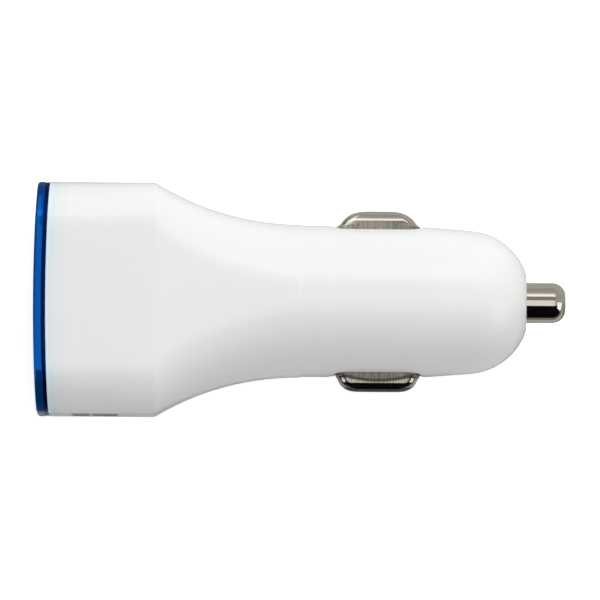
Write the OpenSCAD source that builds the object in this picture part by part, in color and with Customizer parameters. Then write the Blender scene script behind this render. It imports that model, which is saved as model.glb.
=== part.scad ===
// Dual USB charger plug for a car's round 12 V socket.
// The plug lies on one broad side of its head: X runs from the port face to the centre pin,
// Y runs from one side contact to the other, and Z is up.
// Inside the modules X starts at the middle of the bezel's front and Y and Z at the plug's axis.

/* [Head] */
// Height of the head, in the direction of the two side contacts
head_h = 32.3; // [32:0.1:36]
// Thickness of the head between its two broad faces
head_t = 24.8; // [24:0.1:28]
// Radius of the head's four long edges
head_r = 7; // [5:0.1:8]
// Length of the head from the front to the start of the taper
head_l = 16.9; // [16.8:0.1:22]
// Radius of the gentle crown across the front
crown_r = 270; // [200:5:400]
// Wall of the housing
wall = 1.6; // [1.3:0.05:1.8]

/* [Taper, barrel and nose] */
// Length of the concave taper between head and barrel
taper_l = 19.9; // [19:0.1:24]
// Radius of the barrel where it guides the plug in the socket
barrel_r = 10.5; // [10.3:0.05:10.8]
// How much wider the end of the taper is than the neck, per side
neck_swell = 0.12; // [0.05:0.01:0.3]
// How much wider than the barrel the straight neck at the socket's mouth is, per side
neck_step = 0.1; // [0.05:0.05:0.4]
// Length of that neck
neck_l = 3.6; // [2:0.1:5]
// Length of the blend on each side of the neck
blend_l = 0.6; // [0.3:0.1:1]
// Length of the straight barrel
land_l = 13.9; // [13.6:0.1:18]
// Length of the drafted stretch between the straight barrel and the nose
draft_l = 4.9; // [3:0.1:8]
// How much the drafted stretch narrows, per side
draft_drop = 0.45; // [0.1:0.05:0.6]
// Radius of the nose's rounded end
nose_r = 8.95; // [8.6:0.05:9.2]
// Length of the nose, from the draft's end to the flat round the pin
nose_l = 8.45; // [8:0.05:8.55]
// Thickness of the nose wall that stops the pin's flange
nose_wall = 2.2; // [1.5:0.1:3]

/* [Bezel and front panel] */
// Thickness of the bezel seen from the side
bezel_t = 1.68; // [1.2:0.02:2.4]
// Radius of the bezel's front edge
bezel_edge_r = 0.4; // [0.2:0.05:0.6]
// Width of the shadow groove between bezel and housing
groove_w = 0.55; // [0.3:0.05:0.7]
// Depth of the shadow groove
groove_d = 0.2; // [0.1:0.05:0.4]
// Length of the bezel's spigot inside the housing
spigot_l = 3.2; // [2.5:0.1:5]
// Wall of the spigot
spigot_t = 0.9; // [0.7:0.05:1.1]
// Depth of the lip that the front panel seats on
lip_h = 0.8; // [0.5:0.1:1.2]
// Thickness of the lip
lip_t = 0.7; // [0.5:0.1:1]
// How far the front panel lies behind the bezel's front
panel_recess = 0.4; // [0.2:0.1:0.8]
// Thickness of the front panel
panel_t = 1.5; // [1.2:0.1:2]
// Width of the skirt round the front panel's back
skirt_t = 1.1; // [0.9:0.1:1.6]

/* [Ports] */
// Distance between the two ports
port_pitch = 11; // [10.6:0.1:12.5]
// Width of a port shell
jack_w = 13.1; // [12.9:0.1:13.4]
// Height of a port shell
jack_h = 5.7; // [5.6:0.05:5.8]
// Length of a port shell from its mouth to the board
jack_l = 14; // [13:0.1:14.1]
// Thickness of the shell's sheet
shell_t = 0.3; // [0.25:0.01:0.35]
// Depth of the tongue's end behind the mouth
tongue_recess = 2.1; // [1.8:0.1:3]
// Width of the tongue
tongue_w = 11.1; // [10.5:0.1:11.5]
// Thickness of the tongue
tongue_t = 1.84; // [1.7:0.01:1.95]
// Gap between the tongue's plain side and the shell
tongue_gap = 0.68; // [0.5:0.01:0.9]
// Length of the insulator's rear block
block_l = 3; // [2:0.1:4]
// Width of a contact strip in a port
strip_w = 1; // [0.8:0.05:1.2]
// Thickness of a contact strip in a port
strip_t = 0.2; // [0.15:0.01:0.3]
// Distance of the two inner contact strips from the port's middle
inner_strip_z = 1; // [0.9:0.05:1.3]
// Distance of the two outer contact strips from the port's middle
outer_strip_z = 3.5; // [3.3:0.05:3.8]
// Distance of the strips' ends behind the tongue's end
strip_recess = 1; // [0.5:0.1:1.5]
// Length of the four sprung fingers cut in a port shell
finger_l = 5; // [4:0.1:6]
// Width of a finger's window
finger_w = 1.8; // [1.4:0.1:2.2]
// Distance of the fingers behind the port's mouth
finger_inset = 3.2; // [2.5:0.1:4]

/* [Boards] */
// Thickness of both boards
board_t = 1.2; // [1:0.1:1.3]
// Gap all round between the port board and the housing
board_margin = 1.5; // [1.2:0.1:2]
// Length of the main board's wide stretch behind the port board
shoulder_l = 4.6; // [3:0.1:5]
// Gap between the corners of that wide stretch and the housing
shoulder_gap = 0.85; // [0.6:0.05:1.5]
// Width of the main board between the two side contacts
tail_w = 8.4; // [7.6:0.1:8.8]
// Width of a tab that joins the main board to the port board
tab_w = 2.4; // [1.5:0.1:2.8]
// Distance of a tab from the wide stretch's corner
tab_inset = 0.2; // [0.1:0.1:0.5]
// Thickness of the housing's board rails
rail_t = 1.2; // [1:0.1:1.6]
// Depth to which the rails hold the main board's edges
rail_grip = 1.5; // [1:0.1:2]

/* [Side contacts] */
// Length of a side contact's pressed dish at the barrel's surface
dish_l = 11.8; // [11:0.1:12.4]
// Width of the dish
dish_w = 5.8; // [5:0.1:6.2]
// Gap between the neck's blend and a side contact's slot
dish_gap = 0.3; // [0.2:0.1:1]
// How far the dish stands out of the barrel
dish_proud = 2.1; // [1.8:0.02:2.4]
// Radius of the dish's pressed edges and corners
dish_r = 1.5; // [1.2:0.05:1.6]
// Radius of the bend from the dish's flat top into its sloping ends
dish_bend_r = 2.4; // [2:0.1:3]
// Slope of the dish's ends
dish_slope = 52; // [45:1:60]
// Thickness of the spring sheet
spring_t = 0.4; // [0.3:0.05:0.45]
// Width of the contact's leaf
leaf_w = 4.6; // [4:0.1:5]
// Length of the tab that hooks under the slot's far end
hook_l = 1.5; // [1:0.1:1.8]
// Length of the leaf between its root and the dish
leaf_l = 12; // [11:0.1:13]
// Gap between the leaf's outer face and the round bore
leaf_gap = 0.15; // [0.1:0.05:0.3]
// Length of the foot soldered along the board's edge
foot_l = 4.5; // [3.5:0.1:5]
// Height of the foot's two ears over the board's faces
ear_h = 1.7; // [1.2:0.1:2]

/* [Centre pin] */
// Diameter of the centre pin's tip
pin_d = 5.6; // [5:0.1:6]
// Diameter of the pin's shank inside the nose
shank_d = 6.1; // [6.05:0.05:6.4]
// How far the pin stands out of the nose
pin_proud = 5.5; // [5:0.05:7]
// Radius of the pin's rounded end
pin_round = 1.85; // [1:0.05:2.2]
// Inward travel of the pin
pin_travel = 3; // [2:0.1:4]
// Diameter of the flange that keeps the pin in the nose
flange_d = 7.6; // [7.2:0.1:8]
// Thickness of that flange
flange_t = 1.5; // [1:0.1:2]
// Diameter of the pin's tail inside the spring
tail_d = 3.8; // [3:0.1:4]
// Gap left between the pin's tail and the terminal when the pin is pressed fully in
tail_gap = 0.3; // [0.2:0.1:0.6]
// Wire of the coil spring
wire_d = 0.5; // [0.4:0.05:0.6]
// Gap between the pin's tail and the inside of the coil spring
spring_gap = 0.35; // [0.25:0.05:0.4]
// Turns of the coil spring
spring_turns = 7; // [5:1:8]
// Sheet of the input terminal that the spring bears on
terminal_t = 0.4; // [0.3:0.05:0.6]
// Width and height of the input terminal
terminal_w = 6.8; // [6.4:0.1:7.4]
// Distance of the terminal's face in front of the dishes' far ends
terminal_inset = 0.6; // [0.4:0.1:1]
// Length of the terminal's two feet along the main board
terminal_foot_l = 2; // [1.5:0.1:2.4]
// Width of those feet
terminal_foot_w = 3; // [2.4:0.1:3.6]

/* [Converter parts] */
// Diameter of the inductor's core
inductor_d = 9; // [7:0.1:9.5]
// Height of the inductor
inductor_h = 6.4; // [5:0.1:7]
// Thickness of the inductor's two flanges
inductor_flange = 1.1; // [0.8:0.1:1.4]
// Wire of the winding
winding_wire = 0.7; // [0.5:0.05:0.9]
// Diameter of both electrolytic capacitors
cap_d = 6.3; // [5:0.1:6.5]
// Length of the input capacitor
input_cap_l = 11; // [9:0.1:12]
// Length of the output capacitor
output_cap_l = 8.5; // [7:0.1:9]
// Length of the fuse
fuse_l = 6; // [5:0.1:6.4]
// Diameter of the fuse
fuse_d = 2.4; // [2:0.1:2.8]
// Length of the rectifier diode
diode_l = 4.2; // [3.5:0.1:5]
// Width of the rectifier diode
diode_w = 2.6; // [2.2:0.1:3]
// Length of the converter chip
converter_chip_l = 5; // [4:0.1:6]
// Width of the converter chip
converter_chip_w = 4; // [3:0.1:5]
// Length of the port chip
port_chip_l = 3; // [2.6:0.1:4]
// Width of the port chip
port_chip_w = 1.8; // [1.6:0.1:2.4]
// Length of a chip resistor
resistor_l = 1.6; // [1:0.1:2]
// Width of a chip resistor
resistor_w = 0.8; // [0.5:0.1:1.2]
// Gap between neighbouring parts on the main board
part_gap = 0.6; // [0.4:0.1:0.8]

/* [Indicator] */
// Diameter of the indicator's light pipe
lens_d = 2.2; // [1.8:0.1:2.6]
// Width of the light pipe's rim behind the front panel
lens_rim_w = 0.7; // [0.5:0.1:1]
// Thickness of that rim
lens_rim_t = 0.8; // [0.5:0.1:1.2]
// Length of the light-emitting chip
led_l = 3.2; // [2:0.1:3.6]
// Width of the light-emitting chip
led_w = 1.6; // [1:0.1:2]
// Height of the light-emitting chip over the port board
led_h = 1.3; // [0.8:0.1:1.6]

/* [Fits] */
// Radial running clearance of the pin in the nose
pin_clearance = 0.08; // [0.05:0.01:0.1]
// Clearance of a side contact in its slot
slot_clearance = 0.3; // [0.2:0.05:0.4]
// Clearance between parts that are pushed together
fit = 0.05; // [0.03:0.01:0.1]

/* [Hidden] */

// Extra length of a cutting tool past the face it opens
over = 1;
// How far the turned barrel reaches into the lofted taper, and how far it lies inside its surface
lap_l = 0.5;
lap_r = 0.03;

// Stations along the axis
taper_x0 = head_l;
taper_x1 = taper_x0 + taper_l;
neck_x0 = taper_x1 + blend_l;
neck_x1 = neck_x0 + neck_l;
land_x0 = neck_x1 + blend_l;
land_x1 = land_x0 + land_l;
nose_x0 = land_x1 + draft_l;
nose_x1 = nose_x0 + nose_l;
pin_x1 = nose_x1 + pin_proud;
plug_l = pin_x1;

// Radii of the neck, the taper's end, the bore and the nose
neck_r = barrel_r + neck_step;
taper_r = neck_r + neck_swell;
bore_r = barrel_r - wall;
nose_y = barrel_r - draft_drop - nose_r;

// Ports and boards
jack_x0 = panel_recess + 0.2;
board_x0 = jack_x0 + jack_l;
board_x1 = board_x0 + board_t;
tongue_y0 = -jack_h / 2 + shell_t + tongue_gap;
tongue_y1 = tongue_y0 + tongue_t;
block_x0 = board_x0 - block_l;
port_board_h = head_h - 2 * wall - 2 * board_margin;
port_board_w = head_t - 2 * wall - 2 * board_margin;
shoulder_w = 2 * (flare(board_x1 + shoulder_l, head_h / 2) - wall - shoulder_gap);
rail_y = shoulder_w / 2 - rail_grip;
tab_y = (shoulder_w - tab_w) / 2 - tab_inset;

// Side contacts: the leaf's outer face lies just under the round bore
leaf_y1 = sqrt(bore_r * bore_r - leaf_w * leaf_w / 4) - leaf_gap;
leaf_y0 = leaf_y1 - spring_t;
dish_x = land_x0 + dish_l / 2 + slot_clearance + dish_gap;
dish_x0 = dish_x - dish_l / 2;
dish_x1 = dish_x + dish_l / 2;
dish_top = barrel_r + dish_proud;
root_x = dish_x0 - leaf_l;
waist_w = 2 * leaf_y0;

// Centre pin and its spring
flange_x1 = nose_x1 - nose_wall - fit;
flange_x0 = flange_x1 - flange_t;
terminal_x1 = dish_x1 - terminal_inset;
terminal_x0 = terminal_x1 - terminal_t;
spring_x0 = terminal_x1 + fit;
spring_x1 = flange_x0 - fit;
spring_r = tail_d / 2 + spring_gap + wire_d / 2;
tail_x0 = terminal_x1 + tail_gap + pin_travel;

// Parts on the main board: the inductor behind the wide stretch, the rest in a row up to the terminal
inductor_x = board_x1 + shoulder_l + part_gap + inductor_d / 2;
fuse_x = terminal_x0 - terminal_foot_l - part_gap - fuse_l;
cap_x = fuse_x - part_gap - input_cap_l;
diode_x = cap_x + output_cap_l + part_gap + diode_l / 2;
small_parts_x = board_x1 + shoulder_l / 2;

// Radius of the drum core under its winding
winding_r0 = inductor_d / 2 - 2.2 * winding_wire;

// Facets
quarter = 12;
ring_points = 4 * quarter;
taper_rings = 12;
$fn = 64;

// Puts the plug in its own frame: centred over its base, lying on a broad side of the head
module placed() {
    translate([-plug_l / 2, 0, head_t / 2]) children();
}

// Turns a profile of [radius, x] points about the plug's axis
module turned(profile) {
    rotate([0, 90, 0])
        rotate([0, 0, 180])
            rotate_extrude($fn = 96) polygon(profile);
}

// A cylinder along the plug's axis between two stations
module rod(r, x0, x1) {
    translate([x0, 0, 0]) rotate([0, 90, 0]) cylinder(r = r, h = x1 - x0);
}

// A rectangular block between two corners
module block(from, to) {
    translate(from) cube(to - from);
}

// A rounded rectangle of exact straights and arcs
module rounded(size_y, size_z, r) {
    square([size_y - 2 * r, size_z], center = true);
    square([size_y, size_z - 2 * r], center = true);
    for (y = [-1, 1], z = [-1, 1])
        translate([y * (size_y / 2 - r), z * (size_z / 2 - r)]) circle(r = r);
}

// Extrudes a Y-Z outline along X between two stations
module across(x0, x1) {
    translate([x0, 0, 0]) rotate([90, 0, 90]) linear_extrude(x1 - x0) children();
}

// A slab with the head's outline, moved in all round
module head_slab(inset, x0, x1) {
    across(x0, x1) rounded(head_h - 2 * inset, head_t - 2 * inset, head_r - inset);
}

// Everything behind the crowned front surface that crosses the axis at x
module behind_crown(x) {
    translate([x + crown_r, 0, 0]) cylinder(r = crown_r, h = 2 * head_t, center = true, $fn = 720);
}

// Points of an arc from the full radius at the start to the flat end, for a turned profile
function end_arc(x, y, r, x_end, steps) =
    let (sweep = asin((x_end - x) / r))
    [for (i = [0:steps]) let (a = sweep * i / steps) [y + r * cos(a), x + r * sin(a)]];

// Half-size of the taper at x: one concave arc that runs out straight into the barrel
function flare(x, half) =
    let (rise = half - taper_r,
         r = (taper_l * taper_l + rise * rise) / (2 * abs(rise)),
         u = taper_x1 - x)
    x <= taper_x0 ? half : taper_r + sign(rise) * u * u / (r + sqrt(r * r - u * u));

// One ring of the loft: a rounded rectangle that turns into a circle as t goes from 0 to 1
function loft_ring(x, inset, t) =
    let (hy = flare(x, head_h / 2) - inset, hz = flare(x, head_t / 2) - inset, r = head_r - inset)
    [for (q = [0:3]) for (i = [0:quarter - 1])
        let (a = 90 * q + 90 * i / (quarter - 1),
             e = 90 * q + 90 * (i + 0.5) / quarter,
             sy = q == 0 || q == 3 ? 1 : -1,
             sz = q < 2 ? 1 : -1)
        [x,
         (1 - t) * (sy * (hy - r) + r * cos(a)) + t * hy * cos(e),
         (1 - t) * (sz * (hz - r) + r * sin(a)) + t * hz * sin(e)]];

// Head and taper in one skin; an inset gives the cavity inside it
module head_loft(inset, x_front) {
    stations = [for (i = [0:taper_rings]) taper_x0 + taper_l * i / taper_rings];
    rings = concat([loft_ring(x_front, inset, 0)],
        [for (i = [0:taper_rings]) loft_ring(stations[i], inset, i / taper_rings)]);
    last = len(rings) - 1;
    sides = [for (j = [0:last - 1]) for (i = [0:ring_points - 1])
        let (a = j * ring_points + i, b = j * ring_points + (i + 1) % ring_points)
        each [[a, a + ring_points, b + ring_points], [a, b + ring_points, b]]];
    front = [for (i = [0:ring_points - 1]) i];
    back = [for (i = [ring_points - 1:-1:0]) last * ring_points + i];
    polyhedron(points = [for (ring = rings) each ring], faces = concat(sides, [front, back]));
}

// Outside of the barrel and nose
module barrel_skin() {
    turned(concat(
        [[0, taper_x1 - lap_l], [taper_r - lap_r, taper_x1 - lap_l], [taper_r - lap_r, taper_x1],
         [neck_r, neck_x0], [neck_r, neck_x1], [barrel_r, land_x0], [barrel_r, land_x1]],
        end_arc(nose_x0, nose_y, nose_r, nose_x1, 10),
        [[0, nose_x1]]));
}

// Space inside the barrel and nose
module barrel_bore() {
    turned(concat(
        [[0, taper_x1 - over], [bore_r, taper_x1 - over], [bore_r, land_x1]],
        end_arc(nose_x0, nose_y, nose_r - wall, nose_x1 - nose_wall, 8),
        [[0, nose_x1 - nose_wall]]));
}

// The slot that a side contact stands out of
module contact_slot() {
    translate([dish_x, 0, 0])
        rotate([-90, 0, 0])
            linear_extrude(dish_top)
                rounded(dish_l + 2 * slot_clearance, dish_w + 2 * slot_clearance,
                    dish_r + slot_clearance);
}

// A pair of rails on one narrow side that holds an edge of the main board;
// the port board rests on their ends
module board_rails() {
    rail_x1 = board_x1 + shoulder_l;
    steps = 4;
    tops = [for (i = [0:steps])
        let (x = board_x1 + shoulder_l * i / steps) [x, flare(x, head_h / 2) - wall / 2]];
    for (side = [0, 1])
        mirror([0, 0, side])
            translate([0, 0, board_t / 2 + fit])
                linear_extrude(rail_t)
                    polygon(concat([[rail_x1, rail_y], [board_x1, rail_y]], tops));
}

module housing() {
    color("whitesmoke")
        difference() {
            union() {
                intersection() {
                    difference() {
                        head_loft(0, over / 2);
                        head_loft(wall, 0);
                    }
                    behind_crown(bezel_t);
                }
                difference() {
                    barrel_skin();
                    head_loft(wall, 0);
                }
                for (side = [0, 1])
                    mirror([0, side, 0]) board_rails();
            }
            barrel_bore();
            for (side = [0, 1])
                mirror([0, side, 0]) contact_slot();
            rod(shank_d / 2 + pin_clearance, flange_x1 - over, nose_x1 + over);
        }
}

// The bezel's rounded front, as a solid slab deeper than the bezel
module bezel_front() {
    hull()
        for (a = [0, 45, 90])
            intersection() {
                head_slab(bezel_edge_r * (1 - cos(a)), -over, bezel_t + over, $fn = 32);
                behind_crown(bezel_edge_r * (1 - sin(a)));
            }
}

module bezel_ring() {
    spigot_x1 = bezel_t + spigot_l;
    color("royalblue")
        difference() {
            union() {
                difference() {
                    bezel_front();
                    behind_crown(bezel_t);
                    intersection() {
                        behind_crown(bezel_t - groove_w);
                        difference() {
                            head_slab(-over, -over, bezel_t + 2 * over);
                            head_slab(groove_d, -2 * over, bezel_t + 3 * over);
                        }
                    }
                }
                head_slab(wall + fit, bezel_t / 2, spigot_x1);
            }
            head_slab(wall + fit + spigot_t, -over, spigot_x1 - lip_t);
            head_slab(wall + fit + spigot_t + lip_h, -over, spigot_x1 + over);
        }
}

// The plan of a port shell, grown by a margin
module jack_outline(margin) {
    rounded(jack_h + 2 * margin, jack_w + 2 * margin, 2 * shell_t + margin);
}

module front_panel() {
    edge = wall + 2 * fit + spigot_t;
    seat_x = bezel_t + spigot_l - lip_t;
    color("white")
        difference() {
            intersection() {
                head_slab(edge, 0, seat_x);
                behind_crown(panel_recess);
            }
            head_slab(edge + skirt_t, panel_recess + panel_t, seat_x + over);
            for (side = [-1, 1])
                translate([0, side * port_pitch / 2, 0])
                    across(0, seat_x) jack_outline(2 * fit);
            rod(lens_d / 2 + fit, 0, seat_x);
        }
}

module indicator_lens() {
    r = lens_d / 2;
    edge = 0.2;
    rim_x = panel_recess + panel_t + fit;
    end_x = board_x0 - led_h - fit;
    color("aliceblue")
        turned([[0, panel_recess], [r - edge, panel_recess], [r, panel_recess + edge], [r, rim_x],
            [r + lens_rim_w, rim_x], [r + lens_rim_w, rim_x + lens_rim_t], [r, rim_x + lens_rim_t],
            [r, end_x], [0, end_x]]);
}

// A folded steel shell with four sprung fingers and two soldering tabs
module usb_shell(side) {
    finger_x = jack_x0 + finger_inset;
    finger_gap = 0.2;
    finger_root = 0.4;
    finger_lean = 4;
    color("lightsteelblue")
        translate([0, side * port_pitch / 2, 0]) {
            difference() {
                across(jack_x0, board_x0) jack_outline(0);
                across(jack_x0 - over, board_x0 + over) jack_outline(-shell_t);
                for (z = [-1, 1])
                    block([finger_x, -jack_h, z * jack_w / 4 - finger_w / 2],
                        [finger_x + finger_l, jack_h, z * jack_w / 4 + finger_w / 2]);
            }
            for (y = [0, 1], z = [-1, 1])
                mirror([0, y, 0])
                    translate([finger_x + finger_l, jack_h / 2, z * jack_w / 4])
                        rotate([0, 0, finger_lean])
                            block([finger_root - finger_l, -shell_t, finger_gap - finger_w / 2],
                                [finger_root, 0, finger_w / 2 - finger_gap]);
            for (z = [0, 1])
                mirror([0, 0, z])
                    block([board_x0 - over, -over, jack_w / 2 - shell_t], [board_x1, over, jack_w / 2]);
        }
}

module usb_insulator(side) {
    color("ghostwhite")
        translate([0, side * port_pitch / 2, 0])
            difference() {
                union() {
                    across(block_x0, board_x0) jack_outline(-shell_t - fit);
                    block([jack_x0 + tongue_recess, tongue_y0, -tongue_w / 2],
                        [block_x0 + over, tongue_y1, tongue_w / 2]);
                }
                port_strips();
            }
}

// The four contact strips of a port, lying on the tongue and let into the rear block
module port_strips() {
    for (z = [-outer_strip_z, -inner_strip_z, inner_strip_z, outer_strip_z])
        block([jack_x0 + tongue_recess + strip_recess, tongue_y1 - strip_t / 2, z - strip_w / 2],
            [board_x0, tongue_y1 + strip_t / 2, z + strip_w / 2]);
}

module usb_contacts(side) {
    color("gold")
        translate([0, side * port_pitch / 2, 0]) port_strips();
}

module port_board() {
    corner_r = 3;
    color("darkgreen")
        difference() {
            across(board_x0, board_x1) rounded(port_board_h, port_board_w, corner_r);
            for (side = [-1, 1], z = [-1, 1])
                translate([0, side * port_pitch / 2, z * (jack_w / 2 - shell_t / 2)])
                    block([board_x0 - over, -over - 2 * fit, -shell_t / 2 - 2 * fit],
                        [board_x1 + over, over + 2 * fit, shell_t / 2 + 2 * fit]);
            for (side = [-1, 1])
                translate([0, side * tab_y, 0])
                    block([board_x0 - over, -tab_w / 2 - fit, -board_t / 2 - fit],
                        [board_x1 + over, tab_w / 2 + fit, board_t / 2 + fit]);
        }
}

module main_board() {
    color("darkgreen")
        translate([0, 0, -board_t / 2])
            linear_extrude(board_t) {
                translate([board_x1, -shoulder_w / 2]) square([shoulder_l, shoulder_w]);
                translate([board_x1, -waist_w / 2]) square([root_x - board_x1, waist_w]);
                translate([board_x1, -tail_w / 2]) square([terminal_x0 - board_x1, tail_w]);
                for (side = [-1, 1])
                    translate([board_x0, side * tab_y - tab_w / 2]) square([board_t + over, tab_w]);
            }
}

// Drum core that stands on the main board
module inductor_core() {
    color("dimgray")
        translate([inductor_x, 0, board_t / 2]) {
            cylinder(d = inductor_d, h = inductor_flange);
            cylinder(r = winding_r0, h = inductor_h);
            translate([0, 0, inductor_h - inductor_flange]) cylinder(d = inductor_d, h = inductor_flange);
        }
}

// Winding of the drum core: closely laid turns seen as ridges
module inductor_winding() {
    room = inductor_h - 2 * inductor_flange;
    turns = floor(room / winding_wire);
    pitch = room / turns;
    valley_r = winding_r0 + 1.2 * winding_wire;
    ridge_r = winding_r0 + 1.7 * winding_wire;
    color("peru")
        translate([inductor_x, 0, board_t / 2 + inductor_flange])
            rotate_extrude()
                polygon(concat([[winding_r0, room], [winding_r0, 0]],
                    [for (i = [0:turns - 1]) each [[valley_r, pitch * i], [ridge_r, pitch * (i + 0.5)]]],
                    [[valley_r, room]]));
}

// An electrolytic can lying along the board, with its crimped neck and two leads to the board
module capacitor(length) {
    r = cap_d / 2;
    edge = 0.3;
    crimp = 0.4;
    crimp_x = cap_d * 0.3;
    lead_d = cap_d * 0.08;
    lead_y = cap_d * 0.2;
    lead_reach = 0.9;
    color("midnightblue")
        translate([0, 0, board_t / 2 + r]) {
            turned([[0, 0], [r - edge, 0], [r, edge], [r, crimp_x - crimp], [r - crimp, crimp_x],
                [r, crimp_x + crimp], [r, length - edge], [r - edge, length], [0, length]]);
            for (y = [-lead_y, lead_y])
                translate([-lead_reach, y, 0]) {
                    rotate([0, 90, 0]) cylinder(d = lead_d, h = lead_reach + lead_d, $fn = 16);
                    translate([0, 0, -r]) cylinder(d = lead_d, h = r + lead_d / 2, $fn = 16);
                }
        }
}

module input_capacitor() {
    translate([cap_x, 0, 0]) capacitor(input_cap_l);
}

module output_capacitor() {
    mirror([0, 0, 1]) translate([cap_x, 0, 0]) capacitor(output_cap_l);
}

// A moulded chip with gull-wing leads, on the lower face of the main board
module chip(length, width, leads) {
    pitch = length / leads;
    height = width * 0.4;
    reach = width / 4;
    shoulder = reach * 0.4;
    standoff = 0.1;
    lead_t = 0.2;
    lead_w = pitch / 3;
    mirror([0, 0, 1])
        translate([0, 0, board_t / 2]) {
            block([-length / 2, -width / 2, standoff], [length / 2, width / 2, height]);
            for (side = [0, 1], i = [0:leads - 1])
                mirror([0, side, 0])
                    translate([(i - (leads - 1) / 2) * pitch + lead_w / 2, width / 2 - standoff, 0])
                        rotate([0, -90, 0])
                            linear_extrude(lead_w)
                                polygon([[0, reach], [0, shoulder], [height / 2, shoulder], [height / 2, 0],
                                    [height / 2 + lead_t, 0], [height / 2 + lead_t, shoulder + lead_t],
                                    [lead_t, shoulder + lead_t], [lead_t, reach]]);
        }
}

module converter_chip() {
    color("black") translate([inductor_x, 0, 0]) chip(converter_chip_l, converter_chip_w, 4);
}

module port_chip() {
    color("black") translate([small_parts_x, rail_y / 2, 0]) chip(port_chip_l, port_chip_w, 3);
}

// A moulded diode with two folded ends, behind the output capacitor
module rectifier_diode() {
    height = 2;
    standoff = 0.2;
    lead_w = diode_w / 2;
    lead_h = 0.8;
    reach = 0.3;
    tuck = 1.2;
    color("black")
        mirror([0, 0, 1])
            translate([diode_x, 0, board_t / 2]) {
                block([-diode_l / 2, -diode_w / 2, standoff], [diode_l / 2, diode_w / 2, height]);
                for (side = [0, 1])
                    mirror([side, 0, 0])
                        block([diode_l / 2 - tuck, -lead_w / 2, 0],
                            [diode_l / 2 + reach, lead_w / 2, lead_h]);
            }
}

// A small axial fuse lying behind the input capacitor
module fuse() {
    r = fuse_d / 2;
    tube_r = r - 0.15;
    end_l = fuse_l / 5;
    color("khaki")
        translate([fuse_x, 0, board_t / 2 + r])
            turned([[0, 0], [r, 0], [r, end_l], [tube_r, end_l], [tube_r, fuse_l - end_l],
                [r, fuse_l - end_l], [r, fuse_l], [0, fuse_l]]);
}

// Chip resistors and small capacitors on the lower face, beside the port chip
module chip_resistors() {
    count = 5;
    pitch = rail_y / (count + 0.5);
    height = resistor_w * 0.6;
    color("gray")
        for (i = [0:count - 1])
            translate([small_parts_x, -pitch * (i + 0.5), -board_t / 2 - height / 2])
                cube([resistor_l, resistor_w, height], center = true);
}

module indicator_led() {
    color("lightyellow")
        block([board_x0 - led_h, -led_w / 2, -led_l / 2], [board_x0, led_w / 2, led_l / 2]);
}

// Bent plate at the end of the main board, with two feet folded over the board's faces
module input_terminal() {
    half = terminal_w / 2;
    color("goldenrod") {
        block([terminal_x0, -half, -half], [terminal_x1, half, half]);
        for (side = [0, 1])
            mirror([0, 0, side])
                block([terminal_x0 - terminal_foot_l, -terminal_foot_w / 2, board_t / 2],
                    [terminal_x0 + terminal_t / 2, terminal_foot_w / 2, board_t / 2 + terminal_t]);
    }
}

// Coil spring between the terminal and the pin's flange, swept along a helix
module pin_spring() {
    sides = 6;
    steps = 14;
    count = spring_turns * steps;
    rise = spring_x1 - spring_x0 - wire_d;
    points = [for (k = [0:count]) for (i = [0:sides - 1])
        let (turn = 360 * k / steps, a = 360 * i / sides, r = spring_r + wire_d / 2 * cos(a))
        [spring_x0 + wire_d / 2 + rise * k / count + wire_d / 2 * sin(a), r * cos(turn), r * sin(turn)]];
    skin = [for (k = [0:count - 1]) for (i = [0:sides - 1])
        let (a = k * sides + i, b = k * sides + (i + 1) % sides)
        each [[a, b, b + sides], [a, b + sides, a + sides]]];
    start = [for (i = [sides - 1:-1:0]) i];
    end = [for (i = [0:sides - 1]) count * sides + i];
    color("silver") polyhedron(points = points, faces = concat(skin, [start, end]));
}

module centre_pin() {
    r = pin_d / 2;
    edge = 0.4;
    color("silver")
        turned(concat(
            [[0, tail_x0], [tail_d / 2 - edge, tail_x0], [tail_d / 2, tail_x0 + edge],
             [tail_d / 2, flange_x0],
             [flange_d / 2, flange_x0], [flange_d / 2, flange_x1], [shank_d / 2, flange_x1],
             [shank_d / 2, nose_x1], [r, nose_x1]],
            end_arc(pin_x1 - pin_round, r - pin_round, pin_round, pin_x1, 8),
            [[0, pin_x1]]));
}

// Side outline of the pressed dish: flat top, bend, sloping end and upright end on each side.
// A skin of zero gives its outside, and the sheet's thickness gives its hollow.
function dish_outline(skin, base) =
    let (r = dish_bend_r - skin,
         drop = dish_bend_r * (1 - cos(dish_slope)),
         flat = dish_l / 2 - (dish_proud - drop) / tan(dish_slope) - dish_bend_r * sin(dish_slope),
         bend_y = dish_top - dish_bend_r,
         end_x = dish_l / 2 - skin,
         end_y = bend_y + r * cos(dish_slope)
             - (end_x - flat - r * sin(dish_slope)) * tan(dish_slope),
         steps = 6,
         bend = [for (i = [0:steps])
             let (a = dish_slope * i / steps) [flat + r * sin(a), bend_y + r * cos(a)]],
         half = concat(bend, [[end_x, end_y], [end_x, base]]))
    concat(half, [for (i = [len(half) - 1:-1:0]) [-half[i][0], half[i][1]]]);

// The pressed dish, outlined from the side, from the end and from above
module dish(skin, base) {
    width = dish_w - 2 * skin;
    translate([dish_x, 0, 0])
        intersection() {
            linear_extrude(width, center = true) polygon(dish_outline(skin, base));
            across(-dish_l, dish_l) rounded(2 * (dish_top - skin), width, dish_r - skin);
            rotate([-90, 0, 0])
                linear_extrude(dish_top) rounded(dish_l - 2 * skin, width, dish_r - skin);
        }
}

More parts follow.
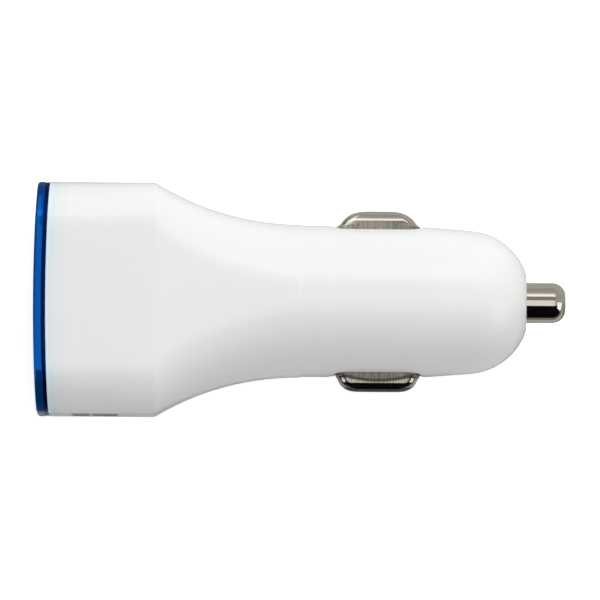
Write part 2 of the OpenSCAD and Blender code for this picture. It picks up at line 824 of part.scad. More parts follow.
// One spring-metal stamping: foot with two ears on the board's edge, straight leaf, pressed dish
// in the slot, and a tab that hooks under the slot's far end
module side_contact(side) {
    ear_inset = 1;
    color("silver")
        mirror([0, side, 0])
            difference() {
                union() {
                    dish(0, leaf_y0);
                    block([root_x - foot_l, leaf_y0, -leaf_w / 2], [dish_x1 + hook_l, leaf_y1, leaf_w / 2]);
                    for (z = [0, 1])
                        mirror([0, 0, z])
                            block([root_x - foot_l, leaf_y0 - ear_h, board_t / 2 + fit],
                                [root_x - ear_inset, leaf_y0 + spring_t / 2, board_t / 2 + fit + spring_t]);
                }
                dish(spring_t, leaf_y0 - over);
            }
}

placed() housing();
placed() bezel_ring();
placed() front_panel();
placed() indicator_lens();
placed() usb_shell(1);  // usb_shell_upper
placed() usb_shell(-1);  // usb_shell_lower
placed() usb_insulator(1);  // usb_insulator_upper
placed() usb_insulator(-1);  // usb_insulator_lower
placed() usb_contacts(1);  // usb_contacts_upper
placed() usb_contacts(-1);  // usb_contacts_lower
placed() port_board();
placed() main_board();
placed() inductor_core();
placed() inductor_winding();
placed() input_capacitor();
placed() output_capacitor();
placed() converter_chip();
placed() port_chip();
placed() rectifier_diode();
placed() fuse();
placed() chip_resistors();
placed() indicator_led();
placed() input_terminal();
placed() pin_spring();
placed() centre_pin();
placed() side_contact(0);  // side_contact_upper
placed() side_contact(1);  // side_contact_lower
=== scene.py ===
# %% [markdown]
# Car charger plug, dressed for its photograph
#
# The plug is a white one-piece housing with a blue bezel on its front, a sprung metal contact on
# each side of the barrel and a sprung metal pin at the nose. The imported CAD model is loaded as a
# fixed frame, so every piece made here goes exactly where the CAD says. Blender adds what the CAD
# leaves out: smooth skins, small edge radii, and finishes that catch the light as moulded plastic
# and plated metal do.

# %% Load the frame
import math

import bmesh
import bpy
from mathutils import Matrix, Vector


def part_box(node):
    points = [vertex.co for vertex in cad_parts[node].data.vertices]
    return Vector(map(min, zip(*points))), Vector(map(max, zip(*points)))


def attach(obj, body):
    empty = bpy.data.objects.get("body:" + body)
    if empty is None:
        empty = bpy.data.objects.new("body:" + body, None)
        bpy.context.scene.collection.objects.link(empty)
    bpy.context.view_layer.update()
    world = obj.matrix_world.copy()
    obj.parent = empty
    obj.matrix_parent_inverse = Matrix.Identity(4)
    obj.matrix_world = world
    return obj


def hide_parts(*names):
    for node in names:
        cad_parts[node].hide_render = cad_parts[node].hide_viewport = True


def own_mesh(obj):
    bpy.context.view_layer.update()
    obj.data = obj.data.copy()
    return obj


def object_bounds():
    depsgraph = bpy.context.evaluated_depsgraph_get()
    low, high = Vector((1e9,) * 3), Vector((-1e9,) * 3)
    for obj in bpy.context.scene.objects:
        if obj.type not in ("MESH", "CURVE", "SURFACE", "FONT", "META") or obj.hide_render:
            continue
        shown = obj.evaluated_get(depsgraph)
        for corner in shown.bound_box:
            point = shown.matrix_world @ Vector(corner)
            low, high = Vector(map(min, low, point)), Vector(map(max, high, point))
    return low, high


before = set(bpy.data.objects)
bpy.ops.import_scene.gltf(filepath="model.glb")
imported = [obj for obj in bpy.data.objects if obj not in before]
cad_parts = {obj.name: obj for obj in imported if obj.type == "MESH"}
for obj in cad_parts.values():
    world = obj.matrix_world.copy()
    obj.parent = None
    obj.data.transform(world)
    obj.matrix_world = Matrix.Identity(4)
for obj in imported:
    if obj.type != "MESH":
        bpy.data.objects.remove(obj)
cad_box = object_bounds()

# %% [markdown]
# Sizes are written in millimetres from the middle of the bezel's front, as a maker would measure
# the plug: X runs along the axis to the pin, Y towards the upper contact and Z towards the upper
# broad side. One helper turns such a place into the frame's metres, and another reads a CAD node's
# box back.

# %% Measures in the maker's millimetres
MM = 0.001
SAME_PLACE = 0.002 * MM
low, high = (Vector(corner) for corner in cad_box)
HALF_L = (high.x - low.x) / 2 / MM
HALF_T = (high.z - low.z) / 2 / MM
HEAD_Y = (high.y - low.y) / 2 / MM
HEAD_R, WALL, CROWN_R, JOINT_X = 7.0, 1.6, 270.0, 1.68
TAPER_X0, TAPER_X1 = 16.9, 36.8
TAPER_L = TAPER_X1 - TAPER_X0
BARREL_R, NECK_R, TAPER_R = 10.5, 10.6, 10.72
NOSE_X0, NOSE_X1, NOSE_R, NOSE_Y = 60.4, 68.85, 8.95, 1.1
NOSE_IN_R, NOSE_IN_X1, PIN_HOLE_R = 7.35, 66.65, 3.13


def place(x, y, z):
    """A place in the maker's millimetres, as a point of the frame."""
    return Vector(((x - HALF_L) * MM, y * MM, (z + HALF_T) * MM))


def span(node):
    """Lowest and highest corner of a CAD node, in the maker's millimetres."""
    return [Vector((x / MM + HALF_L, y / MM, z / MM - HALF_T)) for x, y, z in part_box(node)]


print("plug length %.2f, head %.1f by %.1f mm" % (2 * HALF_L, 2 * HEAD_Y, 2 * HALF_T))

# %% [markdown]
# The plug's skin is a row of closed rings: a rounded rectangle at the head that turns into a circle
# by the end of the taper. A subdivided box could give such a shape, but its proportions would only
# be about right. Rings placed by the same rule as the CAD keep the measured outline and are smooth
# at any size. Each ring has points round its four corners and a few along its sides, so that it can
# follow the crown.

# %% Rings of the head, taper and barrel
QUARTER, ALONG = 24, 5


def crown(y):
    """How far the crowned front falls back at a height y."""
    return CROWN_R - math.sqrt(CROWN_R ** 2 - y ** 2)


def flare(x, half):
    """Half-size of the taper at x, one concave arc that runs out into the barrel."""
    if x <= TAPER_X0:
        return half
    rise = half - TAPER_R
    r = (TAPER_L ** 2 + rise ** 2) / (2 * rise)
    u = TAPER_X1 - x
    return TAPER_R + u * u / (r + math.sqrt(r * r - u * u))


def with_sides(points, crowned=0.0):
    """Adds points along the straights between corners, then lays the ring on the crown."""
    ring = []
    for q in range(4):
        start, end = points[(q + 1) * QUARTER - 1], points[(q + 1) * QUARTER % len(points)]
        ring += points[q * QUARTER:(q + 1) * QUARTER]
        ring += [start.lerp(end, i / (ALONG + 1)) for i in range(1, ALONG + 1)]
    return [p + Vector((crowned * crown(p.y / MM) * MM, 0, 0)) for p in ring]


def head_ring(x, inset=0.0, crowned=0.0):
    """A ring of the head or taper; crowned 1 lets it follow the front's crown."""
    t = max(0.0, (x - TAPER_X0) / TAPER_L)
    hy, hz, r = flare(x, HEAD_Y) - inset, flare(x, HALF_T) - inset, HEAD_R - inset
    points = []
    for q, (sy, sz) in enumerate(((1, 1), (-1, 1), (-1, -1), (1, -1))):
        for i in range(QUARTER):
            a = math.radians(90 * q + 90 * i / (QUARTER - 1))
            e = math.radians(90 * q + 90 * (i + 0.5) / QUARTER)
            y = (1 - t) * (sy * (hy - r) + r * math.cos(a)) + t * hy * math.cos(e)
            z = (1 - t) * (sz * (hz - r) + r * math.sin(a)) + t * hz * math.sin(e)
            points.append(place(x, y, z))
    return with_sides(points, crowned)


def round_ring(x, r):
    """A round ring of the barrel or nose."""
    angles = [math.radians(90 * (i + 0.5) / QUARTER) for i in range(4 * QUARTER)]
    return with_sides([place(x, r * math.cos(a), r * math.sin(a)) for a in angles])


print("points in a ring:", len(head_ring(0)), len(round_ring(0, 1)))

# %% [markdown]
# A loft turns the rings into a skin. It starts with a circle of edges that is laid on the first
# ring, and extrudes those edges to each next ring. A tube with a real wall comes back on its inside
# and is bridged to its own start, so it is closed. A lid stays open at its rim and gets one face on
# its last ring. Edges and corners that are round on the real piece get a bevel of their own radius.

# %% Lofting rings


def move(verts, places):
    """Puts each vertex at its place."""
    for vert, co in zip(verts, places):
        vert.co = co


def loft(bm, rings, lid=False):
    """Walls through a row of rings; it closes on itself, or ends in one face if it is a lid."""
    loop = bmesh.ops.create_circle(bm, segments=len(rings[0]), radius=MM)["verts"]
    first = edges = [e for v in loop for e in v.link_edges if e.verts[0] == v]
    move(loop, rings[0])
    for ring in rings[1:]:
        made = bmesh.ops.extrude_edge_only(bm, edges=edges)["geom"]
        fresh = {g for g in made if isinstance(g, bmesh.types.BMVert)}
        edges = [g for g in made if isinstance(g, bmesh.types.BMEdge) and set(g.verts) <= fresh]
        loop = [next(e.other_vert(v) for e in v.link_edges if e.other_vert(v) in fresh)
                for v in loop]
        move(loop, ring)
    if lid:
        bmesh.ops.edgeloop_fill(bm, edges=edges)
    else:
        bmesh.ops.bridge_loops(bm, edges=first + edges)
    return bm


def ease(bm, geom, radius, segments=4, affect="EDGES", clamp=True):
    """Rounds edges or corners to a radius in millimetres."""
    bmesh.ops.bevel(bm, geom=geom, offset=radius * MM, offset_type="OFFSET", segments=segments,
                    profile=0.5, affect=affect, material=-1, clamp_overlap=clamp)


def steps(a, b, count):
    """Evenly spread stations from a to b, both of them included."""
    return [a + (b - a) * i / count for i in range(count + 1)]


def eased(x, x0, x1, a, b):
    """Moves softly from a at x0 to b at x1."""
    t = min(1.0, max(0.0, (x - x0) / (x1 - x0)))
    return a + (b - a) * t * t * (3 - 2 * t)


print("halfway between two radii:", eased(1, 0, 2, NECK_R, BARREL_R))

# %% [markdown]
# Every piece ends in the same way: doubles merged, normals pointing out, smooth shading with the
# real edges kept sharp, and then it rides on its body and hides the CAD solid it stands for.

# %% Finishing a piece


def mesh_object(bm, name):
    """A plain object from a bmesh, at the origin, with its place in its mesh."""
    mesh = bpy.data.meshes.new(name)
    bm.to_mesh(mesh)
    bm.free()
    obj = bpy.data.objects.new(name, mesh)
    bpy.context.scene.collection.objects.link(obj)
    return obj


def finished(bm, name, body, node, sharp=35):
    """Turns a bmesh into a piece that rides on a body and replaces a CAD node."""
    bmesh.ops.remove_doubles(bm, verts=bm.verts, dist=SAME_PLACE)
    bmesh.ops.recalc_face_normals(bm, faces=bm.faces)
    piece = mesh_object(bm, name)
    piece.data.shade_smooth()
    piece.data.set_sharp_from_angle(angle=math.radians(sharp))
    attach(piece, body)
    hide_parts(node)
    print(name, "faces:", len(piece.data.polygons))
    return piece


# %% [markdown]
# The housing is one hollow moulding. Its rings run from the joint over the head, taper, barrel and
# nose to the pin hole, and back along the inside one wall further in, so the shell closes on itself
# and has a real wall. The shoulder between head and taper is a soft moulded edge, which a bevel
# makes.

# %% Rings of the housing's outside
FRONT_EDGE, CROWN_FADE = 0.12, ((3.0, 0.9), (6.0, 0.4), (10.0, 0))
NECK_RISE, NECK_FALL, DRAFT, DRAFT_R = (36.8, 37.8), (40.8, 41.8), (54.0, 61.9), 10.05
NOSE_RIM = ((NOSE_X1 - 0.04, 4.03), (NOSE_X1, 3.9), (NOSE_X1, 3.3))


def nose_rings(r, angles):
    """Rings along the nose's arc, for its outside or its inside."""
    return [round_ring(NOSE_X0 + r * math.sin(a), NOSE_Y + r * math.cos(a)) for a in angles]


quarter_turn = [math.radians(a) for a in (90, 60, 30, 0)]
outside = [head_ring(JOINT_X + FRONT_EDGE * (1 - math.sin(a)), FRONT_EDGE * (1 - math.cos(a)), 1)
           for a in quarter_turn]
outside += [head_ring(x, 0, crowned) for x, crowned in CROWN_FADE]
outside += [head_ring(x) for x in steps(TAPER_X0, TAPER_X1, 30)]
outside += [round_ring(x, eased(x, *NECK_RISE, TAPER_R, NECK_R)) for x in steps(37.0, 37.8, 4)]
outside += [round_ring(x, eased(x, *NECK_FALL, NECK_R, BARREL_R)) for x in steps(*NECK_FALL, 4)]
outside += [round_ring(x, BARREL_R) for x in steps(43.0, 55.0, 8)]
outside += [round_ring(x, eased(x, *DRAFT, BARREL_R, DRAFT_R)) for x in steps(56.0, NOSE_X0, 4)]
sweep = math.asin((NOSE_X1 - NOSE_X0) / NOSE_R)
outside += nose_rings(NOSE_R, steps(sweep / 16, sweep * 15 / 16, 14))
outside += [round_ring(x, r) for x, r in NOSE_RIM]
print("rings outside:", len(outside))

# %% Rings of the housing's inside, and the shell
HOLE_EASE, NOSE_SEAT_R = 0.15, 4.95
inside = [round_ring(NOSE_X1 - HOLE_EASE, PIN_HOLE_R), round_ring(NOSE_IN_X1, PIN_HOLE_R),
          round_ring(NOSE_IN_X1, NOSE_SEAT_R)]
sweep = math.asin((NOSE_IN_X1 - NOSE_X0) / NOSE_IN_R)
inside += nose_rings(NOSE_IN_R, steps(sweep * 7 / 8, 0, 7))
inside += [round_ring(x, BARREL_R - WALL) for x in steps(55.5, 37.5, 9)]
inside += [head_ring(x, WALL) for x in steps(TAPER_X1, TAPER_X0, 12)]
inside += [head_ring(JOINT_X, WALL, 1)]
housing_bm = loft(bmesh.new(), outside + inside)
print("rings inside:", len(inside), "faces:", len(housing_bm.faces))

# %% Ease the shoulder
SHOULDER_EASE, OUTER_PART = 0.3, 0.91
shoulder_x = place(TAPER_X0, 0, 0).x


def on_shoulder(co):
    """Whether a point is on the outer edge between head and taper."""
    outward = max(abs(co.y / MM) / HEAD_Y, abs(co.z / MM - HALF_T) / HALF_T)
    return abs(co.x - shoulder_x) < 1e-6 and outward > OUTER_PART


ridge = [e for e in housing_bm.edges if all(on_shoulder(v.co) for v in e.verts)]
ease(housing_bm, ridge, SHOULDER_EASE, 3, clamp=False)
print("shoulder edges eased:", len(ridge))

# %% [markdown]
# Each side contact stands in a slot with round corners. The slot is cut with a Boolean, because its
# edge crosses the barrel's curve, and the cutter is a bevelled block the size of the contact plus
# its clearance. The cutter is deleted afterwards.

# %% Blocks, and edges to ease on them
DISH_X, DISH_L, DISH_W, DISH_TOP = 48.1, 11.8, 5.8, 12.6
SLOT_GAP, SLOT_R, CUT_Y0, CUT_Y1 = 0.3, 1.8, 6.0, 12.0


def block_at(bm, x0, x1, y0, y1, z0, z1):
    """A block between two corners, from a unit cube that is scaled and moved."""
    verts = bmesh.ops.create_cube(bm, size=1)["verts"]
    middle = place((x0 + x1) / 2, (y0 + y1) / 2, (z0 + z1) / 2)
    bmesh.ops.scale(bm, vec=Vector((x1 - x0, y1 - y0, z1 - z0)) * MM, verts=verts)
    bmesh.ops.translate(bm, vec=middle, verts=verts)
    return verts


def edges_along(verts, axis):
    """Edges among these vertices that run along one axis."""
    found = {e for v in verts for e in v.link_edges}
    return [e for e in found
            if abs((e.verts[0].co - e.verts[1].co).normalized()[axis]) > 0.999]


print("slot length:", DISH_L + 2 * SLOT_GAP, "width:", DISH_W + 2 * SLOT_GAP)

# %% Cut the contact slots
cutter_bm = bmesh.new()
half_x, half_z = DISH_L / 2 + SLOT_GAP, DISH_W / 2 + SLOT_GAP
for y0, y1 in ((CUT_Y0, CUT_Y1), (-CUT_Y1, -CUT_Y0)):
    verts = block_at(cutter_bm, DISH_X - half_x, DISH_X + half_x, y0, y1, -half_z, half_z)
    ease(cutter_bm, edges_along(verts, 1), SLOT_R, 5)
cutter = mesh_object(cutter_bm, "slot_cutter")
bmesh.ops.remove_doubles(housing_bm, verts=housing_bm.verts, dist=SAME_PLACE)
bmesh.ops.recalc_face_normals(housing_bm, faces=housing_bm.faces)
shell = mesh_object(housing_bm, "housing_shell")
cut = shell.modifiers.new("slots", "BOOLEAN")
cut.operation, cut.solver, cut.object = "DIFFERENCE", "EXACT", cutter
slotted = shell.evaluated_get(bpy.context.evaluated_depsgraph_get())
housing_bm = bmesh.new()
housing_bm.from_mesh(slotted.to_mesh())
for helper in (shell, cutter):
    bpy.data.objects.remove(helper)
print("faces after the slots are cut:", len(housing_bm.faces))

# %% [markdown]
# Inside, four rails hold the main board's edges. They are thin plates that end on the port board's
# back. They can hardly be seen, but a housing without them would be a bare shell when it is opened.

# %% Board rails inside the housing
RAIL_X0, RAIL_X1, RAIL_Y0, RAIL_Y1, RAIL_T, BOARD_GAP = 15.8, 20.4, 10.37, 12.9, 1.2, 0.65
rail_mid = place((RAIL_X0 + RAIL_X1) / 2, 0, 0).x
for side in (-1, 1):
    for level in (-1, 1):
        y0, y1 = sorted((side * RAIL_Y0, side * RAIL_Y1))
        z0, z1 = sorted((level * BOARD_GAP, level * (BOARD_GAP + RAIL_T)))
        verts = block_at(housing_bm, RAIL_X0, RAIL_X1, y0, y1, z0, z1)
        for v in [v for v in verts if abs(v.co.y) > (RAIL_Y0 + RAIL_Y1) / 2 * MM]:
            station = RAIL_X0 if v.co.x < rail_mid else RAIL_X1
            v.co.y = side * (flare(station, HEAD_Y) - WALL / 2) * MM
        ease(housing_bm, edges_along(verts, 0), 0.15, 2)
housing = finished(housing_bm, "housing_skin", "plug_body", "housing", 40)

# %% [markdown]
# The bezel is a moulded ring pushed into the head's front. From the side it shows a bright front
# band and a thin darker band behind it, where it steps down to a shadow groove before the white
# housing. Its section is swept round the head's outline by the same ring helper, so its corners
# match the housing's.

# %% Bezel ring
BEZEL_EDGE, GROOVE_W, GROOVE_D = 0.4, 0.55, 0.08
GROOVE_X = JOINT_X - GROOVE_W
SPIGOT_IN, SPIGOT_OUT, SPIGOT_X1, LIP_IN, LIP_X = 2.55, 1.65, 4.88, 3.35, 4.18


def corner(x, inset, r, start, end, count):
    """Rings round a small edge: a quarter turn about a centre, from one angle to another."""
    angles = [math.radians(a) for a in steps(start, end, count)]
    return [head_ring(x + r * math.sin(a), inset + r * math.cos(a), 1) for a in angles]


bezel_rings = [head_ring(LIP_X, SPIGOT_IN), head_ring(1.5, SPIGOT_IN, 0.5)]
bezel_rings += corner(0.15, SPIGOT_IN - 0.15, 0.15, 0, -90, 3)
bezel_rings += corner(BEZEL_EDGE, BEZEL_EDGE, BEZEL_EDGE, -90, -180, 8)
bezel_rings += corner(GROOVE_X - 0.1, 0.1, 0.1, -180, -270, 4)
bezel_rings += [head_ring(GROOVE_X + 0.03, GROOVE_D, 1), head_ring(JOINT_X, GROOVE_D, 1)]
bezel_rings += [head_ring(JOINT_X, SPIGOT_OUT, 1), head_ring(SPIGOT_X1 - 0.3, SPIGOT_OUT)]
bezel_rings += [head_ring(SPIGOT_X1, SPIGOT_OUT + 0.3), head_ring(SPIGOT_X1, LIP_IN)]
bezel_rings += [head_ring(LIP_X, LIP_IN)]
bezel = finished(loft(bmesh.new(), bezel_rings), "bezel_trim", "plug_body",
                 "bezel_ring", 40)

# %% [markdown]
# The front panel isn't in the photograph. It is the plain white plate such a charger has: two port
# mouths with eased edges and a small hole for the light pipe, set a little behind the bezel. The
# face is filled between its outlines, cut into strips so that it can follow the crown, and given
# thickness.

# %% Outlines of the front panel
PANEL_X, PANEL_T, PANEL_EDGE, SKIRT_T, SKIRT_X = 0.4, 1.5, 2.6, 1.1, (1.85, 4.18)
PORT_Y, JACK_W, JACK_H, JACK_GAP, JACK_R, LENS_HOLE_R = 5.5, 13.1, 5.7, 0.1, 0.7, 1.15


def outline_loop(bm, half_y, half_z, r, y, segments=6):
    """A rounded outline in the plane across the axis, from a square whose corners are eased."""
    verts = bmesh.ops.create_circle(bm, segments=4, radius=1)["verts"]
    corners = ((1, 1), (-1, 1), (-1, -1), (1, -1))
    move(verts, [place(0, y + sy * half_y, sz * half_z) for sy, sz in corners])
    ease(bm, verts, r, segments, "VERTICES", clamp=False)


panel_bm = bmesh.new()
half_y, half_z = HEAD_Y - PANEL_EDGE, HALF_T - PANEL_EDGE
outline_loop(panel_bm, half_y, half_z, HEAD_R - PANEL_EDGE, 0, 8)
for side in (-1, 1):
    outline_loop(panel_bm, JACK_H / 2 + JACK_GAP, JACK_W / 2 + JACK_GAP, JACK_R, side * PORT_Y)
lens_hole = bmesh.ops.create_circle(panel_bm, segments=32, radius=LENS_HOLE_R * MM)["verts"]
upright = Matrix.Translation(place(0, 0, 0)) @ Matrix.Rotation(math.radians(90), 4, "Y")
bmesh.ops.transform(panel_bm, matrix=upright, verts=lens_hole)
print("outline points:", len(panel_bm.verts))

# %% Fill, crown and thicken the front panel
bmesh.ops.triangle_fill(panel_bm, use_beauty=True, edges=panel_bm.edges)
for y in steps(-half_y + 1, half_y - 1, 16):
    everything = panel_bm.verts[:] + panel_bm.edges[:] + panel_bm.faces[:]
    bmesh.ops.bisect_plane(panel_bm, geom=everything, plane_co=place(0, y, 0), plane_no=(0, 1, 0))
made = bmesh.ops.extrude_face_region(panel_bm, geom=panel_bm.faces[:])["geom"]
back = {g for g in made if isinstance(g, bmesh.types.BMVert)}
for v in panel_bm.verts:
    v.co.x += (PANEL_X + PANEL_T if v in back else PANEL_X + crown(v.co.y / MM)) * MM
rim = [e for e in panel_bm.edges if len(e.link_faces) == 2 and e.calc_face_angle(0) > 1.0
       and back.isdisjoint(e.verts)]
ease(panel_bm, rim, 0.15, 3)
SKIRT_IN = PANEL_EDGE + SKIRT_T
loft(panel_bm, [head_ring(SKIRT_X[end], inset) for end, inset in
                ((0, PANEL_EDGE), (1, PANEL_EDGE), (1, SKIRT_IN), (0, SKIRT_IN))])
panel = finished(panel_bm, "panel_plate", "plug_body", "front_panel")

# %% [markdown]
# The centre pin is a turned part, so it is spun: its half section, from the tail inside the spring
# to the rounded tip, goes once round the axis. The flange behind the nose keeps it in the housing.

# %% Centre pin
PIN_R, SHANK_R, PIN_END, PIN_ROUND = 2.8, 3.05, 74.35, 1.85
TAIL_R, TAIL_X0, FLANGE_R, FLANGE_X0, FLANGE_X1 = 1.9, 56.7, 3.8, 65.1, 66.6


def spun(bm, profile, count=96):
    """Spins a half section of (x, radius) points once round the plug's axis."""
    verts = [bm.verts.new(place(x, r, 0)) for x, r in profile]
    edges = [bm.edges.new(pair) for pair in zip(verts, verts[1:])]
    bmesh.ops.spin(bm, geom=verts + edges, cent=place(0, 0, 0), axis=(1, 0, 0), dvec=(0, 0, 0),
                   angle=math.tau, steps=count, use_merge=True, use_duplicate=False)
    return bm


def arc(x, r, radius, start, end, count):
    """Points of an edge's round, for a half section."""
    angles = [math.radians(a) for a in steps(start, end, count)]
    return [(x + radius * math.sin(a), r + radius * math.cos(a)) for a in angles]


pin_profile = [(TAIL_X0, 0), (TAIL_X0, TAIL_R - 0.4), (TAIL_X0 + 0.4, TAIL_R), (FLANGE_X0, TAIL_R)]
pin_profile += [(FLANGE_X0, FLANGE_R - 0.15), (FLANGE_X0 + 0.15, FLANGE_R)]
pin_profile += [(FLANGE_X1 - 0.15, FLANGE_R), (FLANGE_X1, FLANGE_R - 0.15), (FLANGE_X1, SHANK_R)]
pin_profile += arc(NOSE_X1 - 0.1, SHANK_R - 0.1, 0.1, 0, 90, 3) + [(NOSE_X1, PIN_R)]
pin_profile += [(x, PIN_R) for x in (69.5, 71.0)]
pin_profile += arc(PIN_END - PIN_ROUND, PIN_R - PIN_ROUND, PIN_ROUND, 0, 84, 18)
pin_profile += [(PIN_END, 0.5), (PIN_END, 0)]
pin = finished(spun(bmesh.new(), pin_profile), "centre_pin_turned", "pin_body",
               "centre_pin", 50)

# %% [markdown]
# The spring behind the pin is one circle of wire that climbs along a helix, which is what a spin
# with a step along its axis does. The pin presses it as it moves in; the coil here has one fixed
# length.

# %% Pin spring
SPRING_X0, SPRING_X1, SPRING_R, WIRE_R = 53.45, 65.05, 2.5, 0.25
SPRING_L, SPRING_TURNS, TURN_STEPS, PIN_TRAVEL = SPRING_X1 - SPRING_X0, 7, 28, 3.0
spring_bm = bmesh.new()
wire = bmesh.ops.create_circle(spring_bm, segments=10, radius=WIRE_R * MM, cap_ends=True)["verts"]
bmesh.ops.translate(spring_bm, vec=place(SPRING_X0 + WIRE_R, SPRING_R, 0), verts=wire)
climb = (SPRING_L - 2 * WIRE_R) / (TURN_STEPS * SPRING_TURNS)
bmesh.ops.spin(spring_bm, geom=spring_bm.verts[:] + spring_bm.edges[:] + spring_bm.faces[:],
               cent=place(0, 0, 0), axis=(1, 0, 0), dvec=(climb * MM, 0, 0),
               angle=math.tau * SPRING_TURNS, steps=TURN_STEPS * SPRING_TURNS,
               use_merge=False, use_duplicate=False)
spring = finished(spring_bm, "pin_spring_coil", "plug_body", "pin_spring", 60)
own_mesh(spring)

# %% [markdown]
# A side contact is stamped from spring sheet. The part that shows is a deep-drawn dish: a flat top,
# long bends down to each end, a short flare at the foot, and round edges along its sides. A
# bevelled block would have the same edge all round, so the dish is lofted instead, from rings that
# grow on their way down by two rules: one for its length, taken from its side outline, and one for
# its width.

# %% Rings of the drawn dish
SHEET, LEAF_Y0, LEAF_Y1, LEAF_W = 0.4, 8.05, 8.45, 4.6
FOOT_R, FOOT_TURN = 0.9, 35
WALL_LEAN, CORNER_R = math.radians(4), 1.5


def half_width(height, edge_h, edge_w):
    """Half the dish's width: a wall that leans in a little, then an oval edge up to the top."""
    edge = DISH_TOP - edge_h
    wall = DISH_W / 2 - (min(height, edge) - LEAF_Y1) * math.tan(WALL_LEAN)
    rise = min(1.0, max(0.0, (height - edge) / edge_h))
    return wall - edge_w * (1 - math.sqrt(1 - rise * rise))


def dish_ring(half_x, height, edge):
    """A rounded rectangle round the dish at one height."""
    half_z = half_width(height, *edge)
    r = min(CORNER_R, half_z, half_x)
    points = []
    for q, (sx, sz) in enumerate(((1, 1), (-1, 1), (-1, -1), (1, -1))):
        for a in steps(math.radians(90 * q), math.radians(90 * q + 90), 11):
            points.append(place(DISH_X + sx * (half_x - r) + r * math.cos(a), height,
                                sz * (half_z - r) + r * math.sin(a)))
    return points


def dish_outline(flat, bend_r, bend_turn):
    """Half the dish from the side: a flat top, a bend down and a foot that curves out again."""
    bend = [(x, y + DISH_TOP - bend_r) for x, y in arc(flat, 0, bend_r, 0, bend_turn, 14)]
    foot = arc(0, 0, -FOOT_R, bend_turn, FOOT_TURN, 3)
    shift = (bend[-1][0] - foot[0][0], bend[-1][1] - foot[0][1])
    foot = [(x + shift[0], y + shift[1]) for x, y in foot[1:]]
    return bend + foot + [(DISH_L / 2, foot[-1][1] - 0.25), (DISH_L / 2, LEAF_Y0)]


DISH_EDGES = {1: (1.9, 1.6), -1: (1.35, 1.25)}
OUTLINES = {1: dish_outline(2.2, 3.6, 58), -1: dish_outline(3.2, 2.5, 70)}
for outline in OUTLINES.values():
    print("dish outline, from the middle:", ["%.2f %.2f" % point for point in outline[::4]])

# %% [markdown]
# The dish is open below and has one sheet's thickness all round. The leaf that bends, the hook at
# its far end and the two ears that clip on the board's edge are thin strips of the same sheet with
# eased edges.

# %% Side contacts
ROOT_X, FOOT_L, HOOK_L, EAR_H, EAR_GAP = 30.2, 4.5, 1.5, 1.7, 0.65


def contact(name, body, node, side):
    """One stamping: dish, leaf, hook and ears, on the upper or the lower side."""
    rings = [dish_ring(*point, DISH_EDGES[side]) for point in reversed(OUTLINES[side])]
    bm = loft(bmesh.new(), rings, lid=True)
    bmesh.ops.recalc_face_normals(bm, faces=bm.faces)
    bmesh.ops.solidify(bm, geom=bm.faces[:], thickness=SHEET * MM)
    x0, x1 = DISH_X - DISH_L / 2, DISH_X + DISH_L / 2
    for s0, s1 in ((ROOT_X - FOOT_L, x0 + SHEET / 2), (x1 - SHEET / 2, x1 + HOOK_L)):
        verts = block_at(bm, s0, s1, LEAF_Y0, LEAF_Y1, -LEAF_W / 2, LEAF_W / 2)
        ease(bm, edges_along(verts, 0) + edges_along(verts, 1), 0.08, 2)
    for level in (-1, 1):
        z0, z1 = sorted((level * EAR_GAP, level * (EAR_GAP + SHEET)))
        verts = block_at(bm, ROOT_X - FOOT_L, ROOT_X - 1,
                         LEAF_Y0 - EAR_H, LEAF_Y0 + SHEET / 2, z0, z1)
        ease(bm, edges_along(verts, 2), 0.1, 2)
    bmesh.ops.scale(bm, vec=(1, side, 1), verts=bm.verts)
    return finished(bm, name, body, node, 40)


upper = contact("contact_spring_upper", "upper_contact_body", "side_contact_upper", 1)
lower = contact("contact_spring_lower", "lower_contact_body", "side_contact_lower", -1)

# %% [markdown]
# Finishes start here. Every pattern reads the object's own coordinates, turned into the maker's
# millimetres by one Mapping node, so a speckle is as large on the housing as it is on the pin.
# Effects that several materials share are node groups, and they only put out masks, heights and
# roughness.

# %% Small helpers for shader nodes


def socket(group, name, direction, kind="NodeSocketFloat", value=None):
    """A socket on the outside of a node group."""
    made = group.interface.new_socket(name=name, in_out=direction, socket_type=kind)
    if value is not None:
        made.default_value = value


def link(tree, source, target):
    """Links an output to an input."""
    tree.links.new(source, target)


def node(tree, kind, **values):
    """A shader node with some of its inputs or settings given."""
    made = tree.nodes.new(kind)
    for key, value in values.items():
        if key in made.inputs:
            made.inputs[key].default_value = value
        else:
            setattr(made, key, value)
    return made


print("helpers for nodes are ready")

# %% Small helpers for numbers and masks


def feed(tree, value, target):
    """Links a socket to an input, or sets the input to a plain value."""
    if isinstance(value, bpy.types.NodeSocket):
        link(tree, value, target)
    else:
        target.default_value = value


def maths(tree, operation, *values):
    """A Math node on sockets or plain numbers."""
    made = node(tree, "ShaderNodeMath", operation=operation)
    for value, target in zip(values, made.inputs):
        feed(tree, value, target)
    return made.outputs[0]


def product(tree, *values):
    """All these masks or numbers multiplied."""
    result = values[0]
    for value in values[1:]:
        result = maths(tree, "MULTIPLY", result, value)
    return result


def distance(tree, a, b):
    """How far a point is from the middle, from its two coordinates."""
    squares = maths(tree, "ADD", product(tree, a, a), product(tree, b, b))
    return maths(tree, "SQRT", squares)


def ranged(tree, value, low_in, high_in, low_out=0.0, high_out=1.0, smooth=False):
    """Maps a value from one range to another, held inside it."""
    made = node(tree, "ShaderNodeMapRange", interpolation_type="SMOOTHSTEP" if smooth else "LINEAR")
    for key, number in (("Value", value), ("From Min", low_in), ("From Max", high_in),
                        ("To Min", low_out), ("To Max", high_out)):
        feed(tree, number, made.inputs[key])
    return made.outputs["Result"]


print("helpers for masks are ready")

# %% [markdown]
# The first shared effect is the grain that mouldings and platings have in their gloss: a fine
# speckle on a broad unevenness. It gives a roughness between two values, and a height for the bump.

